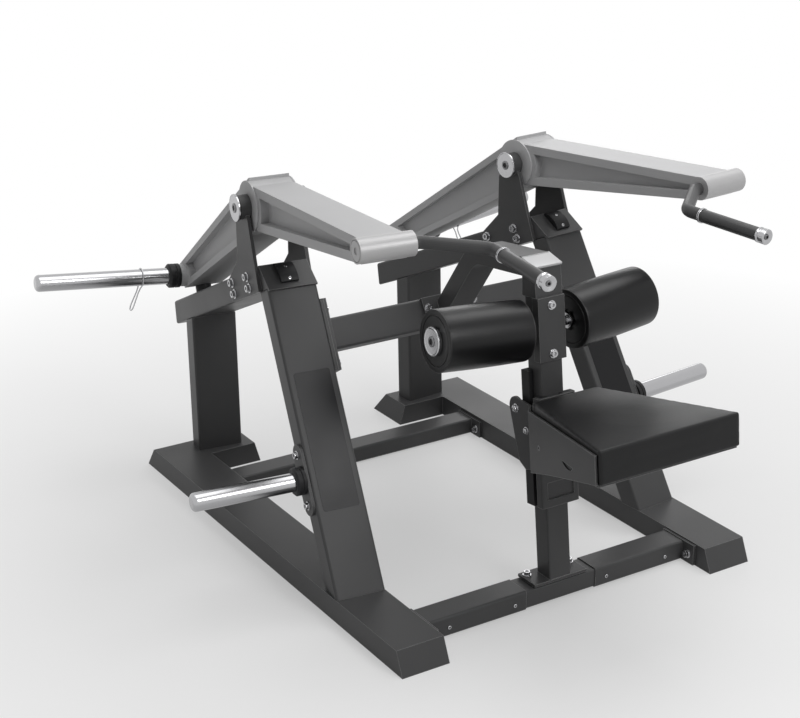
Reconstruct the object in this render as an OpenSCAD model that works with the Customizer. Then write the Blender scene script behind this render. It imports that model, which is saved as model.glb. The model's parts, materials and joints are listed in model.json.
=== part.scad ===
// Seated triceps press with two lever arms that are loaded with plates one by one.
// X points to the sitter's right, Y to the rear of the machine, Z up, and the floor is Z = 0.
// The sitter straddles the column, faces the rear and holds the thighs under the two rollers.
// Each side frame stands in a plane that is toed out to the front. A side frame is drawn with
// its own x pointing outboard, y to the rear and z up, and its origin under the arm's pivot.

/* [Base] */
// Distance between the centre lines of the two base rails
rail_gauge = 1000; // [980:5:1030]
// Width of a base rail
rail_w = 140; // [130:1:150]
// Height of a base rail
rail_h = 65; // [60:1:70]
// Length of a base rail along its top
rail_top_l = 1415; // [1405:1:1440]
// How far the rail's front end runs out at the floor
rail_front_rake = 29; // [10:1:40]
// How far the rail's rear end runs out at the floor
rail_rear_rake = 48; // [10:1:60]
// Reach of the inboard foot at the rear, along its top
foot_reach = 150; // [140:1:165]
// Depth of the inboard foot from front to rear
foot_depth = 119.5; // [112:0.5:130]
// How far the inboard foot's end runs out at the floor
foot_rake = 19; // [5:1:30]
// Distance from the rails' front end back to the origin of the model
origin_back = 592.3; // [570:0.1:610]

/* [Crossbars] */
// Centre of the front crossbar behind the rails' front end
front_bar_y = 121; // [119:1:125]
// Depth of the front crossbar's inner tube
front_bar_d = 76; // [70:1:80]
// Height of the front crossbar's inner tube
front_bar_h = 51; // [48:1:54]
// Wall of the sleeves that carry the front crossbar
sleeve_wall = 3; // [2:0.5:4]
// Half of the bare stretch between the two sleeves
sleeve_start = 115; // [95:1:150]
// Centre of the rear crossbar in front of the rails' rear end
rear_bar_in = 262; // [250:1:275]
// Depth of the rear crossbar
rear_bar_d = 78; // [70:1:84]
// Height of the rear crossbar
rear_bar_h = 50; // [44:1:54]
// Thickness of the crossbars' end flanges
flange_t = 8; // [6:0.5:10]
// How far an end flange runs on in front of its crossbar
flange_ear = 46; // [38:1:52]

/* [Side frames] */
// Angle by which each side frame is toed out to the front
toe_angle = 6.36; // [5.6:0.02:7]
// Distance of a pivot from the machine's middle
pivot_x = 435.7; // [425:0.1:445]
// Distance of a pivot behind the rails' front end
pivot_y = 851.3; // [840:0.1:862]
// Height of the arms' pivots over the floor
pivot_z = 974.3; // [950:0.1:990]
// Width of the flat frame tubes across the side frame
flat_w = 140; // [136:1:142]
// Thickness of the flat frame tubes in the side frame's plane
flat_t = 65; // [60:1:68]
// Corner radius of the frame tubes
tube_r = 7; // [4:0.5:9]
// Distance of the rear post's foot behind the pivot
post_back = 507; // [495:1:512]
// Lean of the rear post to the rear
post_lean = 1.6; // [0:0.1:3]
// Distance of the upright's foot in front of the pivot
upright_fwd = 535; // [520:1:545]
// Lean of the front upright to the rear
upright_lean = 30.6; // [29:0.1:32]
// Height of the pivot over the top beam's centre line
beam_below = 217.5; // [214:0.5:222]
// Rise of the top beam to the front
beam_slope = 24.2; // [23:0.1:25]
// Thickness of the top beam
beam_t = 70; // [66:1:73]
// Distance of the top beam's rear end behind the pivot
beam_rear = 646; // [640:1:665]
// Thickness of the plate that closes the beam's front end
nose_t = 6; // [4:0.5:8]

/* [Pivot plates] */
// Thickness of the plates that carry the pivots
pivot_plate_t = 10; // [8:0.5:12]
// Width of a pivot plate's neck behind the pivot
neck_back = 50; // [44:1:54]
// Width of a pivot plate's neck in front of the pivot
neck_front = 38; // [34:1:42]
// Radius of the black boss round the pivot
boss_r = 33; // [30:0.5:34]
// How far the boss stands out past the pivot plate
boss_out = 17; // [12:0.5:22]
// Radius of the pivot shaft
shaft_r = 15; // [12:0.5:18]
// Radius of the chrome cap on the pivot
cap_r = 37.5; // [35:0.5:40]

/* [Lever arms] */
// Width of a lever arm
arm_w = 116.5; // [112:0.5:120]
// Radius of the arm's hub
hub_r = 68; // [64:0.5:72]
// Distance from the pivot to the end tube
arm_front = 718; // [700:1:730]
// Height of the end tube over the pivot
end_rise = 79.8; // [70:0.2:90]
// Half height of the arm over the pivot, at the top
arm_up = 59.3; // [56:0.1:62]
// Half height of the arm under the pivot, at the bottom
arm_down = 64.1; // [62:0.1:65.5]
// Height of the arm's top over the end tube's axis
end_up = 25.5; // [22:0.5:28]
// Depth of the arm's bottom under the end tube's axis
end_down = 34; // [32:0.5:36]
// Distance of the weight horn behind the pivot
horn_back = 575; // [565:1:585]
// Drop of the weight horn under the pivot
horn_drop = 371; // [368:0.5:378]
// Width of the arm's flanges seen from the side
arm_flange = 24; // [18:0.5:28]
// Depth of the pockets in the arm's sides
pocket_depth = 22; // [14:0.5:30]
// Radius of the end tube
end_tube_r = 30.8; // [29:0.1:32]
// Length of the end tube
end_tube_l = 146; // [140:1:156]
// Turn of an arm from its rear stop to its front stop
press_travel = 40; // [38:0.5:41]

/* [Handles] */
// Radius of the handle's tube
handle_r = 16; // [14:0.5:17]
// Radius of the core under the rubber grip
core_r = 12; // [10:0.5:13]
// Radius of the rubber grip
grip_r = 16.8; // [16:0.2:18]
// Bend radius of the handle's tube
handle_bend = 40; // [34:1:44]
// Straight stub between the end tube and the first bend's corner
handle_stub = 18; // [15:1:22]
// Distance of the elbow in front of the pivot
elbow_fwd = 819; // [810:1:830]
// Distance of the elbow inboard of the arm's middle
elbow_in = 231; // [220:1:240]
// Height of the elbow over the pivot
elbow_up = 73; // [68:1:78]
// Distance of the handle's tip in front of the pivot
tip_fwd = 1078; // [1065:1:1090]
// Height of the handle's tip over the pivot
tip_up = 64.8; // [60:0.2:70]
// Length of the rubber grip
grip_l = 178; // [165:1:184]

/* [Weight horns] */
// Radius of the weight horns and of the storage horns
horn_r = 25; // [24:0.5:25]
// Length of a weight horn from its boss
horn_l = 440; // [400:1:460]
// Tilt of a weight horn, up to its tip
horn_tilt = 4.95; // [3:0.05:6]
// Length of a storage horn from its plate
storage_l = 309; // [280:1:330]
// Height of the storage horn over the floor
storage_z = 329; // [310:1:340]
// Radius of the rubber collar at the root of a horn
collar_r = 37; // [35:0.5:40]
// Length of the rubber collar on a weight horn
collar_l = 36; // [30:1:42]
// Length of the rubber collar on a storage horn
storage_collar_l = 28; // [24:1:34]
// Diameter of the wire of a spring clip
wire_d = 4; // [3:0.5:5]
// Distance of the spring clip from the horn's root
clip_out = 118; // [100:1:150]

/* [Stops] */
// Thickness of the front bumper at its crest
bumper_t = 16; // [14:0.5:18]
// Length of the front bumper down the slope
bumper_l = 66; // [60:1:72]
// Width of the front bumper
bumper_w = 50; // [44:1:60]
// Radius of the rear rest stop
rest_r = 24; // [20:0.5:28]
// Distance of the rear rest stop behind the pivot
rest_back = 566; // [556:1:576]

/* [Upper frame] */
// Centre of the upper crossbar behind the rails' front end
upper_bar_y = 651; // [646:1:656]
// Height of the upper crossbar's centre
upper_bar_z = 644; // [638:1:650]
// Height of the upper crossbar along its lean
upper_bar_h = 87; // [82:1:92]
// Width of the bent neck
neck_w = 80; // [74:1:82]
// Thickness of the bent neck
neck_t = 50; // [46:1:54]
// Radius of the neck's bend
neck_bend = 90; // [80:1:100]
// Distance of the neck's corner behind the rails' front end
neck_corner_y = 464; // [456:1:472]
// Height of the neck's corner
neck_corner_z = 870; // [864:1:876]
// Fall of the neck's upper leg towards the rear
neck_slope = 6.7; // [5.5:0.1:8]

/* [Column] */
// Width of the column
column_w = 70; // [68:1:72]
// Depth of the column
column_d = 58; // [56:1:60]
// Lean of the column to the rear
column_lean = 6.84; // [6.4:0.02:7.2]
// Centre of the column's foot behind the rails' front end
column_y = 113; // [110:1:116]
// Length of the column along its lean
column_l = 772; // [764:1:778]
// Width of the column's base plate
base_plate_w = 172; // [160:1:184]
// Thickness of the column's base plate
base_plate_t = 8; // [6:0.5:10]
// Length of the plate over the column's head
head_plate_l = 168; // [150:1:176]
// Thickness of the plate over the column's head
head_plate_t = 6.5; // [5:0.5:8]

/* [Rollers] */
// Radius of the thigh rollers
roller_r = 81.5; // [76:0.5:84]
// Length of a thigh roller
roller_l = 247; // [235:1:255]
// Distance of a roller's inner end from the machine's middle
roller_in = 78; // [74:1:84]
// Height of the rollers' axes at the machine's middle
roller_z = 740.3; // [734:0.1:750]
// Sweep of the rollers to the rear
roller_sweep = 4.06; // [3:0.02:5]
// Rise of the rollers to their outer ends
roller_rise = 3.38; // [2:0.02:4.5]
// Radius of the rollers' shafts
roller_shaft_r = 12.5; // [10:0.5:15]

/* [Seat] */
// Half width of the seat pad at its front
pad_half = 218; // [205:1:225]
// Length of the seat pad
pad_l = 414; // [400:1:420]
// Thickness of the seat pad
pad_t = 88; // [80:1:92]
// Height of the seat pad's top along the column
pad_top = 523.5; // [515:0.5:530]
// Distance of the seat pad's rear edge in front of the column's middle
pad_gap = 76; // [72:1:84]
// Taper of the seat pad on each side
pad_taper = 15.3; // [14:0.1:16]
// Thickness of the seat's side plates
side_plate_t = 6; // [5:0.5:8]
// Outer half width of the carriage on the column
carriage_half = 60; // [58:0.5:62]
// Lowest seat position under the one shown
seat_down = 160; // [120:40:160]
// Highest seat position over the one shown
seat_up = 40; // [0:40:40]
// Distance between the holes for the latch pin
hole_pitch = 40; // [40:1:40]

/* [Hidden] */
$fn = 48;
LEFT = -1;
RIGHT = 1;

// Clearances: flat or soft faces that stay apart, a turning fit and a ring pushed on a bar
air = 0.3;
running = 0.05;
ring_fit = 0.1;
// Room that a cut keeps past the faces it goes through
past = 1;
// Turned-down root and rounded tip of every horn
root_step = 1;
horn_tip = 12;

graphite = "#3b3c3e";
silver = "#a9abad";
light_silver = "#c4c5c6";
chrome = "#d9dadb";
rubber = "#1c1c1d";
vinyl = "#161617";

// Heights that the pieces share
bar_lift = 1;
front_bar_top = bar_lift + front_bar_h + 2 * sleeve_wall;
rail_inner = rail_gauge / 2 - rail_w / 2;
arm_half = arm_w / 2;
plate_in = flat_w / 2;
plate_out = plate_in + pivot_plate_t;
boss_face = plate_out + boss_out;

// The stop faces follow from the arm's underside, which lies on the bumper after a full press
under_angle = atan((arm_down + end_rise - end_down) / arm_front);
under_dist = arm_down * cos(under_angle);
face_angle = press_travel - under_angle;
face_dist = under_dist + air + bumper_t;
rear_up = 77.8;
rear_down = 81.7;
rear_under = atan((horn_drop + 38 - rear_down) / (horn_back + 5));

// A point of a side frame's plane, given by its distance in front of the pivot and its height
function pt(fwd, up) = [-fwd, up];
function beam_mid(fwd) = pivot_z - beam_below + tan(beam_slope) * fwd;
function beam_top(fwd) = beam_mid(fwd) + beam_t / 2 / cos(beam_slope);
function beam_bottom(fwd) = beam_mid(fwd) - beam_t / 2 / cos(beam_slope);
// Distance in front of the pivot at which the stop face's plane, sunk by d, meets a beam line
function face_at(height, d) =
    (pivot_z - height - (face_dist + d) / cos(face_angle)) / (tan(beam_slope) + tan(face_angle));

// Vector helpers
function unit(v) = v / norm(v);
function angle_of(a, b) = acos(unit(a) * unit(b));
function frame_at(x, y, c) =
    let(z = cross(x, y))
    [[x[0], y[0], z[0], c[0]], [x[1], y[1], z[1], c[1]], [x[2], y[2], z[2], c[2]], [0, 0, 0, 1]];
// Points of a circle's arc in a plane
function arc(c, r, from, to, steps) =
    [for (i = [0:steps]) let(a = from + (to - from) * i / steps) c + r * [cos(a), sin(a)]];

// Frames of reference
module whole() translate([0, -origin_back, 0]) children();

module on_side(side)
    whole()
        mirror([side == LEFT ? 1 : 0, 0, 0])
            translate([pivot_x, pivot_y, 0])
                rotate([0, 0, toe_angle])
                    children();

module on_pivot(side) on_side(side) translate([0, 0, pivot_z]) children();

module on_stop_face(side, lift = 0)
    on_pivot(side)
        rotate([face_angle, 0, 0])
            translate([0, 0, lift - face_dist])
                children();

module on_horn(side)
    on_pivot(side)
        translate([0, horn_back, -horn_drop])
            rotate([0, 90 - horn_tilt, 0])
                children();

module on_upright(side, height)
    on_side(side)
        translate([0, -upright_fwd + tan(upright_lean) * (height - rail_h), height])
            rotate([-upright_lean, 0, 0])
                children();

module on_upper_bar()
    whole()
        translate([0, upper_bar_y, upper_bar_z])
            rotate([-upright_lean, 0, 0])
                children();

module on_column()
    whole()
        translate([0, column_y, front_bar_top])
            rotate([-column_lean, 0, 0])
                children();

module on_roller(side)
    whole()
        mirror([side == LEFT ? 1 : 0, 0, 0])
            translate([0, roller_y, roller_z])
                rotate([0, 0, roller_sweep])
                    rotate([0, 90 - roller_rise, 0])
                        children();

// Solids that repeat
module rounded_rect(w, t, r) {
    square([w - 2 * r, t], center = true);
    square([w, t - 2 * r], center = true);
    for (x = [-1, 1], y = [-1, 1])
        translate([x * (w / 2 - r), y * (t / 2 - r)])
            circle(r);
}

// A tube's outer form along +Z, its width along X and its thickness along Y
module bar(w, t, l, r = tube_r) linear_extrude(l) rounded_rect(w, t, r);

// An outline in the plane of y and z, w wide along x and centred
module slab(w, points)
    rotate([90, 0, 90])
        linear_extrude(w, center = true)
            polygon(points);

// The same outline between two values of x
module sheet(x0, x1)
    translate([x0, 0, 0])
        rotate([90, 0, 90])
            linear_extrude(x1 - x0)
                children();

module ring(outer, inner, l)
    difference() {
        cylinder(h = l, r = outer);
        translate([0, 0, -past])
            cylinder(h = l + 2 * past, r = inner);
    }

// A turned disc with rounded rims and a hexagon socket in its outer face
module dished_cap(r, t, rim, socket) {
    difference() {
        rotate_extrude()
            polygon(concat(
                [[0, 0], [r, 0]],
                arc([r - rim, t - rim], rim, 0, 90, 6),
                [[r - 2 * rim, t - rim / 3], [r / 3, t - rim / 2], [0, t - rim / 2]]
            ));
        translate([0, 0, t - rim / 2 - socket / 2])
            cylinder(h = socket, r = socket, $fn = 6);
    }
}

// A bar with a rounded tip, along +Z
// A horn with a turned-down root for its collar and a rounded tip
module horn(r, l, tip, root)
    rotate_extrude()
        polygon(concat(
            [[0, 0], [r - root_step, 0], [r - root_step, root], [r, root]],
            arc([r - tip, l - tip], tip, 0, 90, 8), [[0, l]]
        ));

// A rubber collar with a groove round its foot
module collar(r, l) {
    groove = 2.5;
    bore = horn_r - root_step + ring_fit;
    rotate_extrude()
        polygon([
            [bore, 0], [r - 1, 0], [r, 1], [r, l * 0.32], [r - groove, l * 0.36],
            [r - groove, l * 0.44], [r, l * 0.48], [r, l - 5], [r - 5, l - air], [bore, l - air]
        ]);
}

// A screw's head on its washer, standing on Z = 0
module bolt_head(r, h) {
    washer_t = r * 0.22;
    cylinder(h = washer_t, r = r * 1.35);
    translate([0, 0, washer_t])
        difference() {
            cylinder(h = h, r = r);
            translate([0, 0, h * 0.45])
                cylinder(h = h, r = r * 0.55, $fn = 6);
        }
}

// Stations [place, direction] along a route of straight runs, each corner rounded to one radius
function route(points, bend, steps) =
    let(last = len(points) - 1, dirs = [for (i = [0:last - 1]) unit(points[i + 1] - points[i])])
    concat(
        [[points[0], dirs[0]]],
        [for (i = [1:1:last - 1])
            let(
                turn = angle_of(dirs[i - 1], dirs[i]),
                toward = unit(dirs[i] - dirs[i - 1] * (dirs[i] * dirs[i - 1])),
                centre = points[i] - dirs[i - 1] * bend * tan(turn / 2) + toward * bend
            )
            each [for (k = [0:steps]) let(a = turn * k / steps)
                [centre + bend * (dirs[i - 1] * sin(a) - toward * cos(a)),
                    dirs[i - 1] * cos(a) + toward * sin(a)]]],
        [[points[last], dirs[last - 1]]]
    );

// Round bar swept along stations, each with its own radius; ref is never along the route
module swept_bar(stations, radii, sides, ref, closed = false) {
    n = len(stations);
    points = [for (k = [0:n - 1], i = [0:sides - 1])
        let(
            d = stations[k][1], u = unit(cross(ref, d)), v = cross(d, u), a = 360 * i / sides
        )
        stations[k][0] + radii[k] * (u * cos(a) + v * sin(a))];
    spans = closed ? n : n - 1;
    walls = [for (k = [0:spans - 1], i = [0:sides - 1])
        let(j = (i + 1) % sides, m = (k + 1) % n)
        each [[k * sides + i, m * sides + i, k * sides + j], [k * sides + j, m * sides + i, m * sides + j]]];
    ends = closed ? [] : [[for (i = [0:sides - 1]) i], [for (i = [sides - 1:-1:0]) (n - 1) * sides + i]];
    polyhedron(points, concat(walls, ends));
}

// Base
rear_bar_y = rail_top_l - rear_bar_in;
module base_rail(side) {
    rear = rail_top_l;
    rail = [[-rail_front_rake, 0], [rear + rail_rear_rake, 0], [rear, rail_h], [0, rail_h]];
    foot_front = rear - foot_depth;
    foot_end = rail_inner - foot_reach;
    whole()
        mirror([side == LEFT ? 1 : 0, 0, 0]) {
            sheet(rail_inner, rail_inner + rail_w)
                polygon(rail);
            intersection() {
                sheet(foot_end - foot_rake, rail_inner + past)
                    polygon([[foot_front, 0], [rear + rail_rear_rake, 0], [rear, rail_h],
                        [foot_front, rail_h]]);
                translate([0, rear + rail_rear_rake + past, 0])
                    rotate([90, 0, 0])
                        linear_extrude(foot_depth + rail_rear_rake + 2 * past)
                            polygon([[foot_end - foot_rake, 0], [rail_inner + past, 0],
                                [rail_inner + past, rail_h], [foot_end, rail_h]]);
            }
        }
}

// A plate on the inner face of a rail, with an ear in front of the crossbar that it ends
module end_flange(side, centre, depth, top) {
    y0 = centre - depth / 2 - flange_ear;
    x0 = rail_inner - flange_t;
    mirror([side == LEFT ? 1 : 0, 0, 0])
        translate([x0, y0, bar_lift])
            cube([flange_t, depth + flange_ear, top - bar_lift]);
}

module front_crossbar()
    color(graphite)
        whole() {
            half = rail_inner - flange_t;
            translate([-half - past, front_bar_y, front_bar_top - sleeve_wall - front_bar_h / 2])
                rotate([0, 90, 0])
                    bar(front_bar_h, front_bar_d, 2 * (half + past), tube_r - sleeve_wall);
            for (side = [LEFT, RIGHT])
                end_flange(side, front_bar_y, front_bar_d + 2 * sleeve_wall, front_bar_top + 3);
        }

module bar_sleeve(side)
    color(graphite)
        whole()
            mirror([side == LEFT ? 1 : 0, 0, 0])
                translate([sleeve_start, front_bar_y, front_bar_top - sleeve_wall - front_bar_h / 2])
                    rotate([0, 90, 0]) {
                        l = rail_inner - flange_t - sleeve_start;
                        h = front_bar_h + 2 * sleeve_wall;
                        d = front_bar_d + 2 * sleeve_wall;
                        difference() {
                            bar(h, d, l);
                            translate([0, 0, -past])
                                bar(front_bar_h, front_bar_d, l + 2 * past, tube_r - sleeve_wall);
                        }
                    }

module rear_crossbar()
    color(graphite)
        whole() {
            half = rail_inner - flange_t;
            translate([-half - past, rear_bar_y, bar_lift + rear_bar_h / 2])
                rotate([0, 90, 0])
                    bar(rear_bar_h, rear_bar_d, 2 * (half + past));
            for (side = [LEFT, RIGHT])
                end_flange(side, rear_bar_y, rear_bar_d, bar_lift + rear_bar_h + 4);
        }

// Side frames
module rear_post(side)
    color(graphite)
        intersection() {
            on_side(side)
                translate([0, post_back, rail_h])
                    rotate([-post_lean, 0, 0])
                        translate([0, 0, -2 * flat_t])
                            bar(flat_w, flat_t, pivot_z);
            on_side(side)
                slab(flat_w + 2 * past, [
                    pt(-post_back - 2 * flat_t, rail_h), pt(-post_back + 2 * flat_t, rail_h),
                    pt(-post_back + 2 * flat_t, beam_bottom(-post_back + 2 * flat_t)),
                    pt(-post_back - 2 * flat_t, beam_bottom(-post_back - 2 * flat_t))
                ]);
        }

module upright(side)
    color(graphite) {
        intersection() {
            on_side(side)
                translate([0, -upright_fwd, rail_h])
                    rotate([-upright_lean, 0, 0])
                        translate([0, 0, -2 * flat_t])
                            bar(flat_w, flat_t, pivot_z + 2 * flat_t);
            on_side(side)
                slab(flat_w + 2 * past, [
                    pt(upright_fwd + 2 * flat_t, rail_h), pt(-flat_t, rail_h),
                    pt(-flat_t, beam_bottom(-flat_t)),
                    pt(upright_fwd + 2 * flat_t, beam_bottom(upright_fwd + 2 * flat_t))
                ]);
        }
        crossbar_plate(side, plate_in, past);
    }

// Plate along an upright's inner face, for the upper crossbar's bolts
crossbar_plate_l = 2 * 76 + 46;
module crossbar_plate(side, from, weld = 0)
    on_upright(side, upper_bar_z)
        translate([-from - flange_t, -flat_t / 2, -crossbar_plate_l / 2])
            cube([flange_t + weld, flat_t, crossbar_plate_l]);

module top_beam(side) {
    low = beam_bottom(0);
    high = beam_top(0);
    reach = 2 * beam_t;
    rear_low = -beam_rear + 6;
    rear_high = -beam_rear - 5;
    nose_low = face_at(low, nose_t - past);
    nose_high = face_at(high, nose_t - past);
    slide = (nose_low - nose_high) * 0.4;
    drop = tan(face_angle) * slide;
    color(graphite) {
        intersection() {
            on_side(side)
                translate([0, 0, beam_mid(0)])
                    rotate([90 - beam_slope, 0, 0])
                        translate([0, 0, -beam_rear - reach])
                            bar(flat_w, beam_t, beam_rear + 3 * reach);
            on_side(side)
                slab(flat_w + 2 * past, [
                    pt(rear_low, beam_bottom(rear_low) - past),
                    pt(nose_low + slide, beam_bottom(nose_low) - drop),
                    pt(nose_high - slide, beam_top(nose_high) + drop),
                    pt(rear_high, beam_top(rear_high) + past)
                ]);
        }
        nose_plate(side);
    }
}

// The plate on the beam's slanted front end, a little longer than the cut tube
module nose_plate(side) {
    from = face_reach(beam_top(0));
    to = face_reach(beam_bottom(0)) + 3;
    on_stop_face(side)
        translate([-flat_w / 2, -to, -nose_t])
            cube([flat_w, to - from, nose_t]);
}
// Distance down the stop face, from the foot of the pivot's plumb to it, at a beam line
function face_reach(height) =
    face_at(height, 0) / cos(face_angle) + face_dist * tan(face_angle);

// Pivot plates with the bosses of the arm's shaft
// Their bolts: two pairs square to the beam
bolt_rear = pt(-95, pivot_z - 242.3);
bolt_down = pt(17, -27);
bolt_ahead = pt(116, 52);
bolt_spots = [for (pair = [0, 1], low = [0, 1]) bolt_rear + pair * bolt_ahead + low * bolt_down];
module pivot_plate(side, inner) {
    x0 = inner ? -plate_out : plate_in;
    low_front = 57.5;
    low_rear = -102;
    // From the foot's front corner round the boss to the foot's rear corner
    outline = [
        pt(low_front, beam_bottom(low_front)), pt(105, beam_top(105) - 76),
        pt(77, beam_top(77) + 6), pt(neck_front, pivot_z - 32), pt(boss_r * 0.88, pivot_z - 16),
        pt(-boss_r * 0.92, pivot_z - 12), pt(-neck_back, pivot_z - 46), pt(-neck_back, beam_top(-50) + 37),
        pt(-93, beam_top(-93) + 12), pt(-122, beam_top(-122) - 5), pt(low_rear, beam_bottom(low_rear))
    ];
    boss_from = arm_half + air;
    color(graphite)
        difference() {
            union() {
                on_side(side)
                    sheet(x0, x0 + pivot_plate_t)
                        polygon(outline);
                on_pivot(side)
                    rotate([0, inner ? -90 : 90, 0])
                        translate([0, 0, boss_from])
                            cylinder(h = boss_face - boss_from, r = boss_r);
            }
            on_pivot(side)
                rotate([0, 90, 0])
                    cylinder(h = 4 * flat_w, r = shaft_r + running, center = true);
        }
}

// Shaft through both plates and the hub, with a chrome cap on each end
module pivot_shaft(side) {
    cap_t = 5.5;
    color(chrome)
        on_pivot(side)
            rotate([0, 90, 0]) {
                translate([0, 0, -boss_face])
                    cylinder(h = 2 * boss_face, r = shaft_r);
                for (turn = [0, 180])
                    rotate([turn, 0, 0])
                        translate([0, 0, boss_face])
                            dished_cap(cap_r, cap_t, 2, 6);
            }
}

// Stops
module bumper(side) {
    base = 6;
    crest = bumper_t - base;
    r = (bumper_l * bumper_l / 4 + crest * crest) / (2 * crest);
    color(rubber)
        on_stop_face(side)
            translate([4, -bumper_from - bumper_l / 2, 0])
                sheet(-bumper_w / 2, bumper_w / 2) {
                    intersection() {
                        translate([-bumper_l / 2, 0])
                            square([bumper_l, bumper_t + past]);
                        translate([0, bumper_t - r])
                            circle(r, $fn = 96);
                    }
                }
}
bumper_from = 148;

// Height of a rest stop's top, just under the arm
function rest_high(fwd) = pivot_z - rear_down + tan(rear_under) * fwd - rest_air;
module rest_stop(side) {
    // The stop stands square on the beam and its top lies along the arm's underside
    fwd = -rest_back;
    gap = (rest_high(fwd) - beam_top(fwd)) * cos(beam_slope);
    color(rubber)
        intersection() {
            on_side(side)
                translate([0, -fwd, beam_top(fwd)])
                    rotate([-beam_slope, 0, 0])
                        cylinder(h = 2 * gap, r = rest_r);
            on_side(side)
                slab(4 * rest_r, [
                    pt(fwd - 2 * rest_r, beam_top(fwd - 2 * rest_r)),
                    pt(fwd + 3 * rest_r, beam_top(fwd + 3 * rest_r)),
                    pt(fwd + 3 * rest_r, rest_high(fwd + 3 * rest_r)),
                    pt(fwd - 2 * rest_r, rest_high(fwd - 2 * rest_r))
                ]);
        }
}
rest_air = air / cos(rear_under);

// Upper crossbar between the uprights, cut to the plates on its ends
module upper_crossbar()
    color(graphite) {
        intersection() {
            on_upper_bar()
                translate([-rail_gauge / 2, 0, 0])
                    rotate([0, 90, 0])
                        bar(upper_bar_h, flat_t, rail_gauge);
            inner_side(plate_in + 2 * flange_t - past);
        }
        for (side = [LEFT, RIGHT])
            crossbar_plate(side, plate_in + flange_t);
    }

// The space between the two side frames, kept a distance inboard of their middle planes
module inner_side(off)
    intersection_for(side = [LEFT, RIGHT])
        on_side(side)
            translate([-3 * rail_gauge - off, -2 * rail_gauge, 0])
                cube([3 * rail_gauge, 4 * rail_gauge, 2 * rail_gauge]);

// Bent neck from the upper crossbar to the column's head
foot_half = 87.5;
foot_t = 10;
module gooseneck() {
    corner = [neck_corner_y, neck_corner_z];
    foot = [foot_y, foot_z];
    leg_dir = unit(corner - foot);
    top_dir = [-cos(neck_slope), sin(neck_slope)];
    turn = angle_of(leg_dir, top_dir);
    toward = [-leg_dir[1], leg_dir[0]];
    leg_start = foot - 40 * leg_dir;
    bend_centre = corner - leg_dir * neck_bend * tan(turn / 2) + toward * neck_bend;
    bend_from = atan2(-toward[1], -toward[0]);
    head_end = column_point(column_d / 2, column_l)[0] - past;
    top_out = [-top_dir[1], top_dir[0]] * -neck_t / 2;
    top_run = (corner[0] - head_end) / cos(neck_slope);
    outer = neck_bend + neck_t / 2;
    inner = neck_bend - neck_t / 2;
    color(graphite) {
        difference() {
            // Lower leg, bend and upper leg
            whole()
                slab(neck_w, concat(
                    [leg_start - toward * neck_t / 2],
                    arc(bend_centre, outer, bend_from, bend_from + turn, 9),
                    [corner + top_dir * top_run + top_out, corner + top_dir * top_run - top_out],
                    arc(bend_centre, inner, bend_from + turn, bend_from, 9),
                    [leg_start + toward * neck_t / 2]
                ));
            on_upper_bar()
                translate([-foot_half, -flat_t / 2 - foot_t / 2, -rail_gauge / 2])
                    cube([2 * foot_half, rail_gauge, rail_gauge]);
        }
        on_upper_bar()
            translate([-foot_half, -flat_t / 2 - foot_t, -upper_bar_h / 2])
                cube([2 * foot_half, foot_t, upper_bar_h]);
        head_block();
    }
}
foot_y = upper_bar_y - (flat_t / 2 + foot_t) * cos(upright_lean);
foot_z = upper_bar_z + (flat_t / 2 + foot_t) * sin(upright_lean);

// A point of the column's middle plane as distance from the rails' front end and height
function column_point(back, up) = [
    column_y + back * cos(column_lean) + up * sin(column_lean),
    front_bar_top - back * sin(column_lean) + up * cos(column_lean)
];

// Block over the column's top that ends the neck, with its slanted cover
head_half = column_w / 2 + air + head_plate_t;
module head_block() {
    front = column_point(-column_d / 2, column_l);
    rear = column_point(column_d / 2, column_l);
    rise = neck_corner_z + (neck_corner_y - rear[0]) * tan(neck_slope) + neck_t / 2 / cos(neck_slope);
    cap = 6;
    fall = 12;
    cap_rear = [rear[0] + 6, rise - cap];
    cap_front = [front[0] + 11, rise - cap - fall];
    whole() {
        slab(2 * head_half, [front, rear, cap_rear, cap_front]);
        slab(2 * head_half + 4, [
            cap_front - [3, 2], cap_rear - [0, 1], cap_rear + [0, cap], cap_front + [-3, cap - 1]
        ]);
    }
}

module head_plate()
    color(graphite)
        on_column()
            translate([0, 0, column_l - head_plate_l])
                linear_extrude(head_plate_l)
                    difference() {
                        translate([-head_half, -column_d / 2 - head_plate_t - 1.5])
                            square([2 * head_half, head_plate_t + 1.5 + 17]);
                        translate([-column_w / 2 - air, -column_d / 2])
                            square([column_w + 2 * air, column_d]);
                    }

// Column with its base plate, and the holes for the latch pin
pin_r = 5;
pin_up = 262;
module seat_column()
    color(graphite) {
        difference() {
            intersection() {
                on_column()
                    translate([0, 0, -column_w])
                        bar(column_w, column_d, column_l + column_w, 5);
                whole()
                    translate([-column_w, 0, front_bar_top + base_plate_t / 2])
                        cube([2 * column_w, rail_gauge, 2 * column_l]);
            }
            for (step = [-seat_down:hole_pitch:seat_up])
                on_column()
                    translate([column_w / 2 - 18, 0, pin_up + step])
                        rotate([0, 90, 0])
                            cylinder(h = 18 + past, r = pin_r + air);
        }
        base_d = front_bar_d;
        whole()
            translate([-base_plate_w / 2, front_bar_y - base_d / 2, front_bar_top])
                cube([base_plate_w, base_d, base_plate_t]);
    }

// Storage horns on the uprights
module storage_bracket(side) {
    bracket_half = 30;
    bracket_reach = 66;
    color(graphite)
        on_upright(side, storage_z)
            sheet(plate_in, plate_in + flange_t)
                union() {
                    square([2 * bracket_half, 2 * bracket_reach], center = true);
                    for (end = [-1, 1])
                        translate([0, end * bracket_reach])
                            circle(bracket_half);
                }
}

module on_storage(side)
    on_upright(side, storage_z)
        translate([plate_in + flange_t, 0, 0])
            rotate([0, 90, 0])
                children();

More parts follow.
